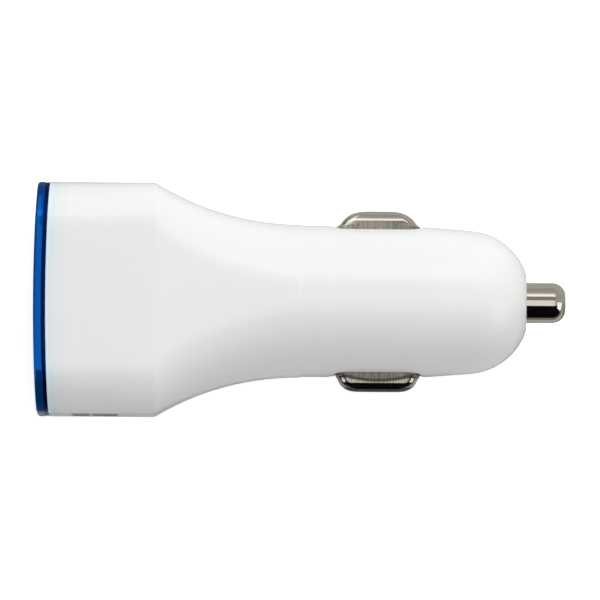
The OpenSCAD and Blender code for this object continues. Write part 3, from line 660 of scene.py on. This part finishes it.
# %% Shared effect: grain


def grain_group():
    """Fine speckle with broad unevenness: a roughness between two values and a height."""
    group = bpy.data.node_groups.new("surface_grain", "ShaderNodeTree")
    socket(group, "Place", "INPUT", "NodeSocketVector")
    for name, value in (("Fine Scale", 6.0), ("Broad Scale", 0.15), ("Smooth", 0.1), ("Dull", 0.2)):
        socket(group, name, "INPUT", value=value)
    socket(group, "Roughness", "OUTPUT")
    socket(group, "Height", "OUTPUT")
    start, end = node(group, "NodeGroupInput"), node(group, "NodeGroupOutput")
    fine = node(group, "ShaderNodeTexNoise", Detail=3.0)
    broad = node(group, "ShaderNodeTexNoise", Detail=2.0)
    for noise, scale in ((fine, "Fine Scale"), (broad, "Broad Scale")):
        link(group, start.outputs["Place"], noise.inputs["Vector"])
        link(group, start.outputs[scale], noise.inputs["Scale"])
    both = maths(group, "ADD", fine.outputs["Fac"], broad.outputs["Fac"])
    rough = ranged(group, both, 0.7, 1.3, start.outputs["Smooth"], start.outputs["Dull"])
    link(group, rough, end.inputs["Roughness"])
    link(group, fine.outputs["Fac"], end.inputs["Height"])
    return group


GRAIN = grain_group()
print("shared effect:", GRAIN.name)

# %% [markdown]
# The second is streaks: thin marks that run one way, such as rub marks on a moulding, drawing lines
# on pressed sheet or scratches where metal slides. Stretching the place before the noise makes them
# thin.

# %% Shared effect: streaks


def streak_group():
    """Thin stretched marks: one where there is a mark, nought elsewhere."""
    group = bpy.data.node_groups.new("streaks", "ShaderNodeTree")
    socket(group, "Place", "INPUT", "NodeSocketVector")
    socket(group, "Stretch", "INPUT", "NodeSocketVector")
    for name, value in (("Thin", 0.56), ("Full", 0.72), ("Amount", 0.3)):
        socket(group, name, "INPUT", value=value)
    socket(group, "Mask", "OUTPUT")
    start, end = node(group, "NodeGroupInput"), node(group, "NodeGroupOutput")
    scaled = node(group, "ShaderNodeVectorMath", operation="MULTIPLY")
    link(group, start.outputs["Place"], scaled.inputs[0])
    link(group, start.outputs["Stretch"], scaled.inputs[1])
    noise = node(group, "ShaderNodeTexNoise", Scale=1.0, Detail=4.0, Roughness=0.7)
    link(group, scaled.outputs[0], noise.inputs["Vector"])
    thin = ranged(group, noise.outputs["Fac"], start.outputs["Thin"], start.outputs["Full"])
    link(group, product(group, thin, start.outputs["Amount"]), end.inputs["Mask"])
    return group


STREAKS = streak_group()
print("shared effect:", STREAKS.name)

# %% [markdown]
# The third is a band: a mask that is one between two values and nought outside, with soft borders.
# Most details of a product sit at known places, such as a cap's end or a groove, so bands do a lot
# of work. The fourth is even ridges, for what is turned on a lathe or wound from wire.

# %% Shared effects: band and ridges


def band_group():
    """One between two edges, nought outside."""
    group = bpy.data.node_groups.new("soft_band", "ShaderNodeTree")
    for name, value in (("Value", 0.0), ("From", 0.0), ("To", 1.0), ("Soft", 0.05)):
        socket(group, name, "INPUT", value=value)
    socket(group, "Mask", "OUTPUT")
    start, end = node(group, "NodeGroupInput"), node(group, "NodeGroupOutput")
    value, soft = start.outputs["Value"], start.outputs["Soft"]
    sides = []
    for edge, (a, b) in (("From", (0.0, 1.0)), ("To", (1.0, 0.0))):
        under = maths(group, "SUBTRACT", start.outputs[edge], soft)
        over = maths(group, "ADD", start.outputs[edge], soft)
        sides.append(ranged(group, value, under, over, a, b, smooth=True))
    link(group, product(group, *sides), end.inputs["Mask"])
    return group


def ridge_group():
    """A wave along one coordinate, from nought to one."""
    group = bpy.data.node_groups.new("even_ridges", "ShaderNodeTree")
    for name, value in (("Value", 0.0), ("Pitch", 0.5)):
        socket(group, name, "INPUT", value=value)
    socket(group, "Height", "OUTPUT")
    start, end = node(group, "NodeGroupInput"), node(group, "NodeGroupOutput")
    turns = maths(group, "DIVIDE", start.outputs["Value"], start.outputs["Pitch"])
    wave = maths(group, "SINE", product(group, turns, math.tau))
    link(group, maths(group, "MULTIPLY_ADD", wave, 0.5, 0.5), end.inputs["Height"])
    return group


BAND, RIDGES = band_group(), ridge_group()
print("shared effects:", BAND.name, RIDGES.name)

# %% [markdown]
# Colours are written as they look on a screen, from 0 to 255, and turned into the linear values
# that shaders take. One helper mixes two of them where a mask says.

# %% Colours for a finish


def srgb(*seen):
    """A colour as it is seen on a screen, 0 to 255, in the linear values that the shader takes."""
    return tuple((c / 255 / 12.92) if c < 10.3 else ((c / 255 + 0.055) / 1.055) ** 2.4
                 for c in seen) + (1.0,)


def grey(level):
    """A plain grey of this linear level."""
    return (level, level, level, 1.0)


def mixed(tree, mask, under, over):
    """A colour that goes from one to the other where the mask says."""
    mix = node(tree, "ShaderNodeMix", data_type="RGBA")
    for value, key in ((mask, "Factor"), (under, "A"), (over, "B")):
        feed(tree, value, mix.inputs[key])
    return mix.outputs["Result"]


print("middle grey in linear values: %.3f" % srgb(128)[0])

# %% [markdown]
# A finish is a Principled shader whose roughness and bump come from the grain, with rub marks that
# dull it. This helper builds that common part, and each real finish then adds what it alone has.

# %% The common part of every finish
GRAIN_DEPTH = 0.02


def finish(name, colour, smooth, dull, fine=6.0, bump=0.05, stretch=(3, 3, 3), rub=0.3, tint=0.04,
           **shader):
    """A material with the shared grain and rub marks, with its tree and useful sockets."""
    mat = bpy.data.materials.new(name)
    mat.use_nodes = True
    tree = mat.node_tree
    bsdf = tree.nodes["Principled BSDF"]
    for key, value in shader.items():
        bsdf.inputs[key.replace("_", " ")].default_value = value
    coords = node(tree, "ShaderNodeTexCoord")
    in_mm = node(tree, "ShaderNodeMapping", Scale=(1 / MM, 1 / MM, 1 / MM),
                 Location=(HALF_L, 0, -HALF_T))
    link(tree, coords.outputs["Object"], in_mm.inputs["Vector"])
    f = {"mat": mat, "tree": tree, "bsdf": bsdf, "here": in_mm.outputs["Vector"], "coords": coords}
    grain = node(tree, "ShaderNodeGroup", node_tree=GRAIN)
    for key, value in (("Fine Scale", fine), ("Smooth", smooth), ("Dull", dull)):
        grain.inputs[key].default_value = value
    link(tree, f["here"], grain.inputs["Place"])
    f["rough"], f["height"] = grain.outputs["Roughness"], grain.outputs["Height"]
    relief = node(tree, "ShaderNodeBump", Strength=bump, Distance=GRAIN_DEPTH * MM)
    link(tree, f["height"], relief.inputs["Height"])
    f["normal"] = relief.outputs["Normal"]
    darker = tuple(c * (1 - tint) for c in colour[:3]) + (1.0,)
    f["base"] = mixed(tree, ranged(tree, f["height"], 0.35, 0.65), darker, colour)
    wire_up(f)
    dulled(f, streaks(f, stretch, rub), 0.25)
    return f


def wire_up(f):
    """Links the finish's present colour, roughness and normal to its shader."""
    for key, target in (("base", "Base Color"), ("rough", "Roughness"), ("normal", "Normal")):
        link(f["tree"], f[key], f["bsdf"].inputs[target])


print("grain depth:", GRAIN_DEPTH, "mm")

# %% [markdown]
# A mask says where something lies on a finish: in thin streaks, or in a band between two borders.
# What runs beside the bezel follows the crowned front, so one helper measures from there.

# %% Masks for a finish


def axes(f):
    """The three coordinates of a finish, in millimetres."""
    split = node(f["tree"], "ShaderNodeSeparateXYZ")
    link(f["tree"], f["here"], split.inputs[0])
    return list(split.outputs)


def streaks(f, stretch, amount, thin=0.56, full=0.72):
    """A mask of thin marks, stretched along the axes with small numbers."""
    made = node(f["tree"], "ShaderNodeGroup", node_tree=STREAKS)
    for key, value in (("Stretch", stretch), ("Amount", amount), ("Thin", thin), ("Full", full)):
        made.inputs[key].default_value = value
    link(f["tree"], f["here"], made.inputs["Place"])
    return made.outputs["Mask"]


def band(f, value, start, end, soft=0.05):
    """A mask that is one where the value lies between two borders."""
    made = node(f["tree"], "ShaderNodeGroup", node_tree=BAND)
    for key, number in (("From", start), ("To", end), ("Soft", soft)):
        made.inputs[key].default_value = number
    link(f["tree"], value, made.inputs["Value"])
    return made.outputs["Mask"]


def behind_crown(f, x, y):
    """How far back a point is, measured from the crowned front."""
    fall = product(f["tree"], y, y, 1 / (2 * CROWN_R))
    return maths(f["tree"], "SUBTRACT", x, fall)


print("masks are ready")

# %% [markdown]
# Each of these lays one more thing on a finish: a stain of another colour, duller gloss, metal
# instead of plastic, or ridges. They keep the finish's present sockets, so they can be stacked.

# %% What a finish can have laid on it


def stained(f, mask, colour):
    """Another colour where the mask is one."""
    f["base"] = mixed(f["tree"], mask, f["base"], colour)
    wire_up(f)


def dulled(f, mask, amount):
    """Rougher by this amount where the mask is one."""
    f["rough"] = maths(f["tree"], "MULTIPLY_ADD", mask, amount, f["rough"])
    wire_up(f)


def plated(f, mask):
    """Metal where the mask is one."""
    link(f["tree"], mask, f["bsdf"].inputs["Metallic"])


def raised(f, height, depth, strength=0.5):
    """A bump on top of what the finish has, this many millimetres deep."""
    bump = node(f["tree"], "ShaderNodeBump", Strength=strength, Distance=depth * MM)
    link(f["tree"], height, bump.inputs["Height"])
    link(f["tree"], f["normal"], bump.inputs["Normal"])
    f["normal"] = bump.outputs["Normal"]
    wire_up(f)


def ridged(f, value, pitch, depth):
    """Even ridges along a coordinate, this far apart and this deep in millimetres."""
    made = node(f["tree"], "ShaderNodeGroup", node_tree=RIDGES)
    made.inputs["Pitch"].default_value = pitch
    link(f["tree"], value, made.inputs["Value"])
    raised(f, made.outputs["Height"], depth)
    return made.outputs["Height"]


def bare_beyond(f, value, middle, reach, colour):
    """Bare metal where a coordinate is further from the middle than this."""
    off = maths(f["tree"], "ABSOLUTE", maths(f["tree"], "SUBTRACT", value, middle))
    mask = maths(f["tree"], "GREATER_THAN", off, reach)
    stained(f, mask, colour)
    plated(f, mask)


def put(f, *objects):
    """Gives the finish to these objects, pieces or names of CAD nodes, as their only material."""
    for obj in objects:
        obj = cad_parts[obj] if isinstance(obj, str) else obj
        obj.data.materials.clear()
        obj.data.materials.append(f["mat"])
    print(f["mat"].name, "on", len(objects))


print("layers are ready")

# %% [markdown]
# The housing is white glossy moulded plastic. Just behind the bezel a pale cyan line with a faint
# blue tint behind it follows the joint: painted light that stands for the ring's blue glow on the
# white. On the narrow side there is a small dark mark in the photograph. What it says can't be
# seen and isn't copied: two plain bars hold its place.

# %% White housing
RING_LIGHT_W, RING_LIGHT_END = 0.42, 5.5
MARK_FROM, MARK_TO, MARK_GAP, MARK_HALF = 5.4, 11.8, (7.9, 8.3), 3.6

white = finish("white_gloss", srgb(243, 243, 242), 0.12, 0.17, rub=0.15, tint=0.015,
               Specular_IOR_Level=0.35)
tree = white["tree"]
x, y, z = axes(white)
behind = behind_crown(white, x, y)
# Painted light: a faint blue tint and a pale cyan line behind the joint stand for the ring's blue
# light thrown on the white.
painted_ring_light = ranged(tree, behind, JOINT_X, RING_LIGHT_END, 0.6, 0.0, smooth=True)
stained(white, painted_ring_light, srgb(226, 238, 242))
stained(white, band(white, behind, JOINT_X - 0.4, JOINT_X + RING_LIGHT_W, 0.08), srgb(228, 249, 255))
on_side = maths(tree, "LESS_THAN", y, -HEAD_Y + 0.05)
across = band(white, z, -MARK_HALF, MARK_HALF, 0.08)
gap = maths(tree, "MULTIPLY_ADD", band(white, x, *MARK_GAP, 0.04), -0.6, 1.0)
mark = product(tree, on_side, across, band(white, x, MARK_FROM, MARK_TO, 0.04), gap)
stained(white, mark, srgb(136, 136, 136))
dulled(white, mark, 0.3)
put(white, housing, "housing")

# %% [markdown]
# The bezel is blue and shines like lacquered metal: in the photograph it mirrors the same light and
# dark bands as the pin does, only blue. So it is mostly metallic, with a clear coat's low
# roughness. Its groove is a little rougher, and is painted a much darker blue as painted shade,
# for the shade in that narrow recess.

# %% Blue bezel
blue = finish("blue_gloss", srgb(4, 88, 174), 0.1, 0.15, rub=0.2, Metallic=0.68,
              Specular_IOR_Level=0.1)
x, y, z = axes(blue)
# Painted shade: the groove band is a much darker blue, for the shade in that narrow recess.
groove_shade = band(blue, behind_crown(blue, x, y), GROOVE_X - 0.02, JOINT_X + 0.1, 0.03)
stained(blue, groove_shade, srgb(0, 26, 84))
dulled(blue, groove_shade, 0.15)
put(blue, bezel, "bezel_ring")

# %% [markdown]
# Nickel plate is a bright, slightly warm metal. The pin has fine lathe lines round it. On the
# contacts the walls were drawn through a die, so they are duller and have upright streaks, and
# the tops have fine scratches along the plug, where they slide in the socket. The walls are also
# painted darker, partly for their drawn finish and partly as painted shade, the lower contact's
# most; the lower contact also has a painted shadow line at its bend and painted shade on its rim
# and on its top face.

# %% Nickel pin
NICKEL = srgb(217, 211, 198)
pin_nickel = finish("nickel_pin", NICKEL, 0.07, 0.11, rub=0.2, Metallic=1.0)
x, y, z = axes(pin_nickel)
ridged(pin_nickel, x, 0.12, 0.0006)
tip = band(pin_nickel, x, PIN_END - 0.25, PIN_END + 1, 0.15)
dulled(pin_nickel, product(pin_nickel["tree"], tip, streaks(pin_nickel, (9, 9, 9), 1.0)), 0.2)
put(pin_nickel, pin, "centre_pin")

# %% Nickel contacts
WALL_TOP, WALL_BEND = 11.2, 0.03
nickel = finish("nickel_plate", NICKEL, 0.08, 0.13, rub=0.2, Metallic=1.0)
tree = nickel["tree"]
x, y, z = axes(nickel)
off_middle = maths(tree, "SUBTRACT", x, DISH_X)
sag = product(tree, off_middle, off_middle, WALL_BEND)
lower_side = ranged(tree, y, -1, 1, 1.0, 0.0)
shifted = maths(tree, "MULTIPLY_ADD", lower_side, -0.2, sag)
level = maths(tree, "ADD", maths(tree, "ABSOLUTE", y), shifted)
drawn = ranged(tree, level, WALL_TOP - 0.12, WALL_TOP + 0.12, 1.0, 0.0, smooth=True)
lines = streaks(nickel, (4.5, 0.35, 0.35), 1.0, 0.42, 0.62)
# Painted shade: the drawn walls are stained darker, the lower contact's most; partly their duller
# drawn finish, partly painted shade.
wall_shade_amount = maths(tree, "MULTIPLY_ADD", lower_side, 0.35, 0.4)
stained(nickel, product(tree, drawn, wall_shade_amount), srgb(104, 100, 90))
# Painted shadow: a dark line along the lower contact's bend, where shade falls.
bend_shadow = band(nickel, level, WALL_TOP - 0.5, WALL_TOP - 0.1, 0.1)
stained(nickel, product(tree, bend_shadow, lower_side, 0.7), srgb(50, 48, 42))
# Painted shade: the lower contact's rim is darker, with streaks in it.
rim = band(nickel, level, WALL_TOP, WALL_TOP + 0.5, 0.1)
marked = maths(tree, "MULTIPLY_ADD", lines, 0.5, 0.25)
stained(nickel, product(tree, rim, lower_side, marked), srgb(90, 86, 78))
stained(nickel, product(tree, drawn, lines, 0.6), srgb(60, 58, 50))
# Painted shade: the lower contact's top face is darker.
stained(nickel, band(nickel, y, -13, -12.1, 0.1), srgb(120, 117, 108))
dulled(nickel, drawn, 0.22)
slid = maths(tree, "GREATER_THAN", level, DISH_TOP - 0.35)
dulled(nickel, product(tree, slid, streaks(nickel, (0.5, 8, 8), 1.0)), 0.15)
put(nickel, upper, lower, "side_contact_upper", "side_contact_lower")

# %% [markdown]
# The front panel and the ports' tongues are satin plastic with a fine moulded grain. The light pipe
# is clear: it keeps a plain transmission, and only its colour and gloss vary a little.

# %% Front panel, tongues and light pipe
satin = finish("white_satin", srgb(236, 236, 234), 0.32, 0.42, fine=9.0, bump=0.25)
put(satin, panel, "front_panel")
tongue = finish("insulator", srgb(226, 226, 220), 0.45, 0.6, fine=7.0, bump=0.2)
put(tongue, "usb_insulator_upper", "usb_insulator_lower")
pipe = finish("clear_plastic", srgb(236, 244, 250), 0.03, 0.08, rub=0.1, tint=0.02, IOR=1.58,
              Transmission_Weight=0.6)
put(pipe, "indicator_lens")

# %% [markdown]
# The port shells are folded from tinned sheet, so fine marks run along them and the mouth's cut
# edge is brighter. The contact strips are gold plated and rubbed bright where a plug's contacts
# stop.

# %% Port shells and contact strips
tinned = finish("tinned_steel", srgb(196, 198, 202), 0.2, 0.3, stretch=(0.6, 7, 7), rub=0.7,
                Metallic=1.0)
x, y, z = axes(tinned)
cut_edge = band(tinned, x, 0.0, span("usb_shell_upper")[0].x + 0.12, 0.03)
stained(tinned, cut_edge, srgb(226, 226, 226))
put(tinned, "usb_shell_upper", "usb_shell_lower")
gold = finish("gold_plate", srgb(214, 172, 92), 0.16, 0.24, stretch=(0.5, 6, 6), rub=0.5,
              Metallic=1.0)
x, y, z = axes(gold)
stained(gold, band(gold, x, 5.0, 9.0, 0.8), srgb(235, 205, 140))
put(gold, "usb_contacts_upper", "usb_contacts_lower")

# %% [markdown]
# The boards are green solder mask over copper. Tracks show as slightly raised, lighter lines
# between cells, and the cut edge, where the face looks sideways, shows the pale glass laminate.

# %% Circuit boards
for name, thin_axis in (("main_board", "Z"), ("port_board", "X")):
    board = finish("board_" + name, srgb(24, 104, 52), 0.25, 0.35, fine=5.0, rub=0.4)
    tree = board["tree"]
    cells = node(tree, "ShaderNodeTexVoronoi", feature="DISTANCE_TO_EDGE", Scale=0.35)
    link(tree, board["here"], cells.inputs["Vector"])
    track = band(board, cells.outputs["Distance"], -1.0, 0.1, 0.02)
    stained(board, track, srgb(46, 138, 74))
    raised(board, track, 0.03)
    facing = node(tree, "ShaderNodeSeparateXYZ")
    link(tree, board["coords"].outputs["Normal"], facing.inputs[0])
    edge = maths(tree, "LESS_THAN", maths(tree, "ABSOLUTE", facing.outputs[thin_axis]), 0.5)
    stained(board, edge, srgb(196, 186, 140))
    put(board, name)

# %% [markdown]
# The inductor is a drum of matt sintered ferrite with enamelled copper wire wound on it. The wire's
# turns are ridges along the drum's axis, with painted shade, a darker colour, in the valleys
# between them.

# %% Inductor
ferrite = finish("ferrite", srgb(58, 58, 60), 0.6, 0.8, fine=4.0, bump=0.5, tint=0.3)
put(ferrite, "inductor_core")
copper = finish("copper_wire", srgb(186, 104, 56), 0.25, 0.35, Metallic=0.9)
x, y, z = axes(copper)
winding_low = span("inductor_winding")[0]
ridges = ridged(copper, maths(copper["tree"], "SUBTRACT", z, winding_low.z), 0.35, 0.05)
# Painted shade: a darker colour in the valleys between the turns.
stained(copper, ranged(copper["tree"], ridges, 0.4, 0.0), srgb(96, 44, 22))
put(copper, "inductor_winding")

# %% [markdown]
# An electrolytic can is aluminium in a dark shrink sleeve. The sleeve leaves the can's end bare and
# has a pale stripe along the side of the negative lead, and the leads are tinned wire.

# %% Capacitors
CAN_X, CAN_R = 32.8, 3.15
for name, side in (("input_capacitor", 1), ("output_capacitor", -1)):
    can = finish("sleeve_" + name, srgb(38, 48, 74), 0.3, 0.42, stretch=(0.4, 5, 5), rub=0.4)
    tree = can["tree"]
    x, y, z = axes(can)
    can_low, can_high = span(name)
    middle = can_high.z - CAN_R if side > 0 else can_low.z + CAN_R
    radius = distance(tree, y, maths(tree, "SUBTRACT", z, middle))
    stained(can, band(can, y, 1.9, 4.0, 0.05), srgb(206, 208, 212))
    bare = product(tree, band(can, radius, -1, CAN_R - 0.6, 0.05),
                   band(can, x, can_high.x - 0.1, can_high.x + 1, 0.05))
    leads = band(can, x, CAN_X - 2, CAN_X - 0.05, 0.03)
    metal = maths(tree, "MAXIMUM", bare, leads)
    stained(can, metal, srgb(200, 202, 205))
    plated(can, metal)
    put(can, name)

# %% [markdown]
# Chips are matt black moulding compound with tinned leads beside the body. The diode has a pale
# band at its cathode end and folded leads at both ends, so its mask runs along the other axis.

# %% Chips and diode
LEAD_TIN = srgb(205, 206, 208)


def moulding(name):
    """Matt black moulding compound."""
    return finish("moulding_" + name, srgb(44, 44, 46), 0.5, 0.65, fine=8.0, bump=0.4, tint=0.15)


for name, half in (("converter_chip", 2.0), ("port_chip", 0.9)):
    chip = moulding(name)
    start, end = span(name)
    bare_beyond(chip, axes(chip)[1], (start.y + end.y) / 2, half + 0.02, LEAD_TIN)
    put(chip, name)

diode = moulding("diode")
x, y, z = axes(diode)
start, end = span("rectifier_diode")
stained(diode, band(diode, x, start.x + 0.7, start.x + 1.2, 0.04), srgb(190, 190, 186))
bare_beyond(diode, x, (start.x + end.x) / 2, (end.x - start.x) / 2 - 0.28, LEAD_TIN)
put(diode, "rectifier_diode")

# %% [markdown]
# The fuse is a glazed ceramic tube with a plated cap on each end. The small chip parts have tinned
# ends too, so one helper lays metal on both ends of a node along the plug.

# %% Fuse and chip resistors


def ends_plated(f, name, reach, colour):
    """Metal over this many millimetres at both ends of a CAD node, along the plug."""
    start, end = span(name)
    bare_beyond(f, axes(f)[0], (start.x + end.x) / 2, (end.x - start.x) / 2 - reach, colour)
    put(f, name)


ceramic = finish("fuse_ceramic", srgb(216, 204, 176), 0.25, 0.35)
ends_plated(ceramic, "fuse", 1.2, srgb(208, 204, 196))
film = finish("chip_grey", srgb(52, 50, 50), 0.35, 0.5, fine=9.0)
ends_plated(film, "chip_resistors", 0.25, LEAD_TIN)

# %% [markdown]
# The indicator is a small white moulding with a round yellowish window that faces the light pipe,
# and tinned ends. The terminal is bent brass sheet with rolling marks, and the spring is drawn
# steel wire.

# %% Indicator, terminal and spring
led = finish("led_white", srgb(236, 236, 228), 0.3, 0.4, fine=8.0)
x, y, z = axes(led)
stained(led, band(led, distance(led["tree"], y, z), -1, 0.6, 0.04), srgb(232, 214, 96))
bare_beyond(led, z, 0, span("indicator_led")[1].z - 0.3, LEAD_TIN)
put(led, "indicator_led")
brass = finish("brass_sheet", srgb(196, 164, 96), 0.2, 0.32, stretch=(6, 0.5, 6), rub=0.8,
               Metallic=1.0)
put(brass, "input_terminal")
steel = finish("spring_steel", srgb(150, 150, 155), 0.2, 0.3, stretch=(8, 1, 1), rub=0.5,
               Metallic=1.0)
put(steel, spring, "pin_spring")

# %% [markdown]
# The stage is plain: a pale matt floor that catches the plug's shadow. It looks white to the camera
# and through the light pipe, because Light Path adds some glow for those rays only. What it
# sends to the plug is just its own matt colour, so it fills the shadows softly and doesn't bleach
# the white plastic.

# %% Floor
FLOOR_HALF, FLOOR_GAP, FLOOR_WHITE, GLOW = 1.5, 0.0002, 0.9, 0.62


def rays(tree):
    """Two masks: rays that mirror the stage, and rays that show it to the camera."""
    path = node(tree, "ShaderNodeLightPath").outputs
    shown = maths(tree, "MAXIMUM", path["Is Camera Ray"], path["Is Transmission Ray"])
    return path["Is Glossy Ray"], shown


floor_bm = bmesh.new()
bmesh.ops.create_grid(floor_bm, x_segments=2, y_segments=2, size=FLOOR_HALF)
bmesh.ops.translate(floor_bm, vec=(0, 0, -FLOOR_GAP), verts=floor_bm.verts)
floor = mesh_object(floor_bm, "floor")
floor_mat = bpy.data.materials.new("pale_floor")
floor_mat.use_nodes = True
floor.data.materials.append(floor_mat)
tree = floor_mat.node_tree
matt = tree.nodes["Principled BSDF"]
matt.inputs["Roughness"].default_value = 1.0
matt.inputs["Specular IOR Level"].default_value = 0.0
glossy, seen = rays(tree)
glow = node(tree, "ShaderNodeEmission", Color=grey(1))
link(tree, product(tree, seen, GLOW), glow.inputs["Strength"])
both = node(tree, "ShaderNodeAddShader")
link(tree, matt.outputs[0], both.inputs[0])
link(tree, glow.outputs[0], both.inputs[1])
link(tree, both.outputs[0], tree.nodes["Material Output"].inputs["Surface"])
print("floor half size:", floor.dimensions.x / 2)

# %% [markdown]
# In the photograph the polished metal mirrors a table that is paler towards the pin and on the
# upper contact's side, black far out beyond the lower contact, and pale again close to the head's
# and the barrel's lower edge. These floor colours are painted light and shade, seen by reflections
# only.

# %% The floor in reflections
CONTACT_MID, CONTACT_REACH, EDGE_PALE = 0.0112, 0.0105, 0.6
split = node(tree, "ShaderNodeSeparateXYZ")
link(tree, node(tree, "ShaderNodeTexCoord").outputs["Object"], split.inputs[0])
x, y, z = split.outputs
# Painted light and shade: in reflections only, the floor is paler and darker in patches that stand
# for light and shade round the plug.
lit_side = ranged(tree, y, -0.01, 0.01, 0.25, 0.48, smooth=True)
toward_pin = ranged(tree, x, -0.03, 0.0, 0.35, 1.0)
flagged = product(tree, maths(tree, "GREATER_THAN", y, -0.08), toward_pin)
beyond = maths(tree, "MULTIPLY_ADD", lit_side, flagged, 0.01)
off_contact = maths(tree, "ABSOLUTE", maths(tree, "SUBTRACT", x, CONTACT_MID))
past_contact = maths(tree, "GREATER_THAN", off_contact, CONTACT_REACH)
near = product(tree, ranged(tree, y, -0.03, -0.024), ranged(tree, y, -0.013, -0.009, 1.0, 0.0),
               past_contact, EDGE_PALE)
mirror = maths(tree, "MAXIMUM", beyond, near)
link(tree, mixed(tree, glossy, grey(FLOOR_WHITE), mirror), matt.inputs["Base Color"])
print("nodes of the floor:", len(tree.nodes))

# %% [markdown]
# The world does three jobs. To the camera it is white. To matt surfaces it is an even fill. To
# glossy ones it is the studio round the plug: a bright softbox on the contacts' upper side, a grey
# wall below it, a pale ceiling overhead and an unlit side towards the lower contact. Polished metal
# shows that studio and little else, so the bands on the pin come from here. The ramp runs round the
# plug's axis. Beyond the plug's two ends the studio is an even grey, with one bright pane that the
# pin's tip shows.

# %% The studio round the plug's axis
STUDIO = ((-90, 0.002), (-21, 0.002), (-17, 1.05), (0, 0.95), (10, 1.1), (13, 0.29), (34, 0.27),
          (36, 1.5), (44, 1.3), (58, 0.42), (90, 0.38))
world = bpy.data.worlds.new("studio")
bpy.context.scene.world = world
world.use_nodes = True
tree = world.node_tree
split = node(tree, "ShaderNodeSeparateXYZ")
link(tree, node(tree, "ShaderNodeTexCoord").outputs["Generated"], split.inputs[0])
x, y, z = split.outputs
turn = maths(tree, "ARCTAN2", y, z)
ramp = node(tree, "ShaderNodeValToRGB")
link(tree, ranged(tree, turn, -math.pi / 2, math.pi / 2), ramp.inputs["Fac"])
stops = ramp.color_ramp.elements
for angle, level in STUDIO[1:-1]:
    stops.new((angle + 90) / 180).color = grey(level)
stops[0].color, stops[-1].color = grey(STUDIO[0][1]), grey(STUDIO[-1][1])
print("studio stops:", [(round(s.position * 180 - 90), round(s.color[0], 2)) for s in stops])

# %% The studio's ends, and what each kind of ray sees
FILL, FAR_GREY, WINDOW, UNLIT_FROM = 0.47, 0.42, 1.4, -0.33
sideways = maths(tree, "ABSOLUTE", x)
lit_end = product(tree, ranged(tree, sideways, 0.3, 0.5, smooth=True),
                  maths(tree, "GREATER_THAN", turn, UNLIT_FROM))
ends = maths(tree, "MAXIMUM", lit_end, ranged(tree, sideways, 0.78, 0.84))
level = mixed(tree, ends, ramp.outputs["Color"], grey(FAR_GREY))
pane = product(tree, ranged(tree, sideways, 0.66, 0.7), ranged(tree, y, -0.55, -0.5),
               ranged(tree, y, 0.0, 0.05, 1.0, 0.0))
studio = node(tree, "ShaderNodeBackground")
link(tree, mixed(tree, pane, level, grey(WINDOW)), studio.inputs["Color"])
white_wall = node(tree, "ShaderNodeBackground", Color=grey(1))
surface = tree.nodes["Background"]
surface.inputs["Color"].default_value = grey(1)
surface.inputs["Strength"].default_value = FILL
for mask, over in zip(rays(tree), (studio, white_wall)):
    mix = node(tree, "ShaderNodeMixShader")
    for source, target in zip((mask, surface.outputs[0], over.outputs[0]), mix.inputs):
        link(tree, source, target)
    surface = mix
link(tree, surface.outputs[0], tree.nodes["World Output"].inputs["Surface"])
print("nodes of the world:", len(tree.nodes))

# %% [markdown]
# One large softbox gives the main light, from the upper contact's side and a little from the pin's
# end. Three weak ones lift the broad side, the nose and the lower contact's side. All four are left
# out of reflections, because the world already holds the studio that they show. The last is a card
# over the head: the glossy head and bezel mirror it along their upper edge, and it gives no matt
# light at all.

# %% Light
AXIS_Z = 0.0124


def softbox(name, size_x, size_y, power, spot, aim=(0, 0, AXIS_Z)):
    """An area light that looks at the plug."""
    data = bpy.data.lights.new(name, "AREA")
    data.shape, data.size, data.size_y, data.energy = "RECTANGLE", size_x, size_y, power
    lamp = bpy.data.objects.new(name, data)
    lamp.location = spot
    lamp.rotation_euler = (Vector(aim) - Vector(spot)).to_track_quat("-Z", "Y").to_euler()
    lamp.visible_glossy = lamp.visible_camera = False
    bpy.context.scene.collection.objects.link(lamp)
    return lamp


softbox("key", 0.45, 0.3, 1.5, (0.14, 0.31, 0.37))
softbox("top", 0.3, 0.3, 0.1, (0, -0.07, 0.5))
softbox("end", 0.2, 0.2, 0.04, (0.41, -0.25, 0.13))
softbox("low", 0.4, 0.1, 0.14, (0, -0.5, 0.06))
card = softbox("head_card", 0.4, 0.7, 0.6, (-0.22, 0.325, 0.29), (-0.22, 0, AXIS_Z))
card.visible_glossy, card.visible_diffuse = True, False
print("lamps:", len(bpy.data.lights))

# %% [markdown]
# The photograph looks almost straight down on the head's broad side, from far away, so the lens is
# long and the camera stands two metres off. It leans three degrees towards the lower contact's side
# and rolls by less than half a degree, which the slope of the barrel's outline gives.

# %% Camera
AWAY, TILT, ROLL = 2.0, math.radians(3.0), math.radians(0.42)
LENS, SENSOR, AIM_Y = 857, 36, 0.00017
cam_data = bpy.data.cameras.new("camera")
cam_data.lens, cam_data.sensor_width = LENS, SENSOR
cam_data.clip_start, cam_data.clip_end = 0.01, 20
camera = bpy.data.objects.new("camera", cam_data)
bpy.context.scene.collection.objects.link(camera)
bpy.context.scene.camera = camera
aim = Vector((0, AIM_Y, AXIS_Z))
camera.location = aim + Vector((0, -math.sin(TILT), math.cos(TILT))) * AWAY
camera.matrix_world = (Matrix.Translation(camera.location) @ Matrix.Rotation(TILT, 4, "X")
                       @ Matrix.Rotation(ROLL, 4, "Z"))
bpy.context.scene.view_settings.view_transform = "Standard"
print("camera at", [round(c, 3) for c in camera.location])
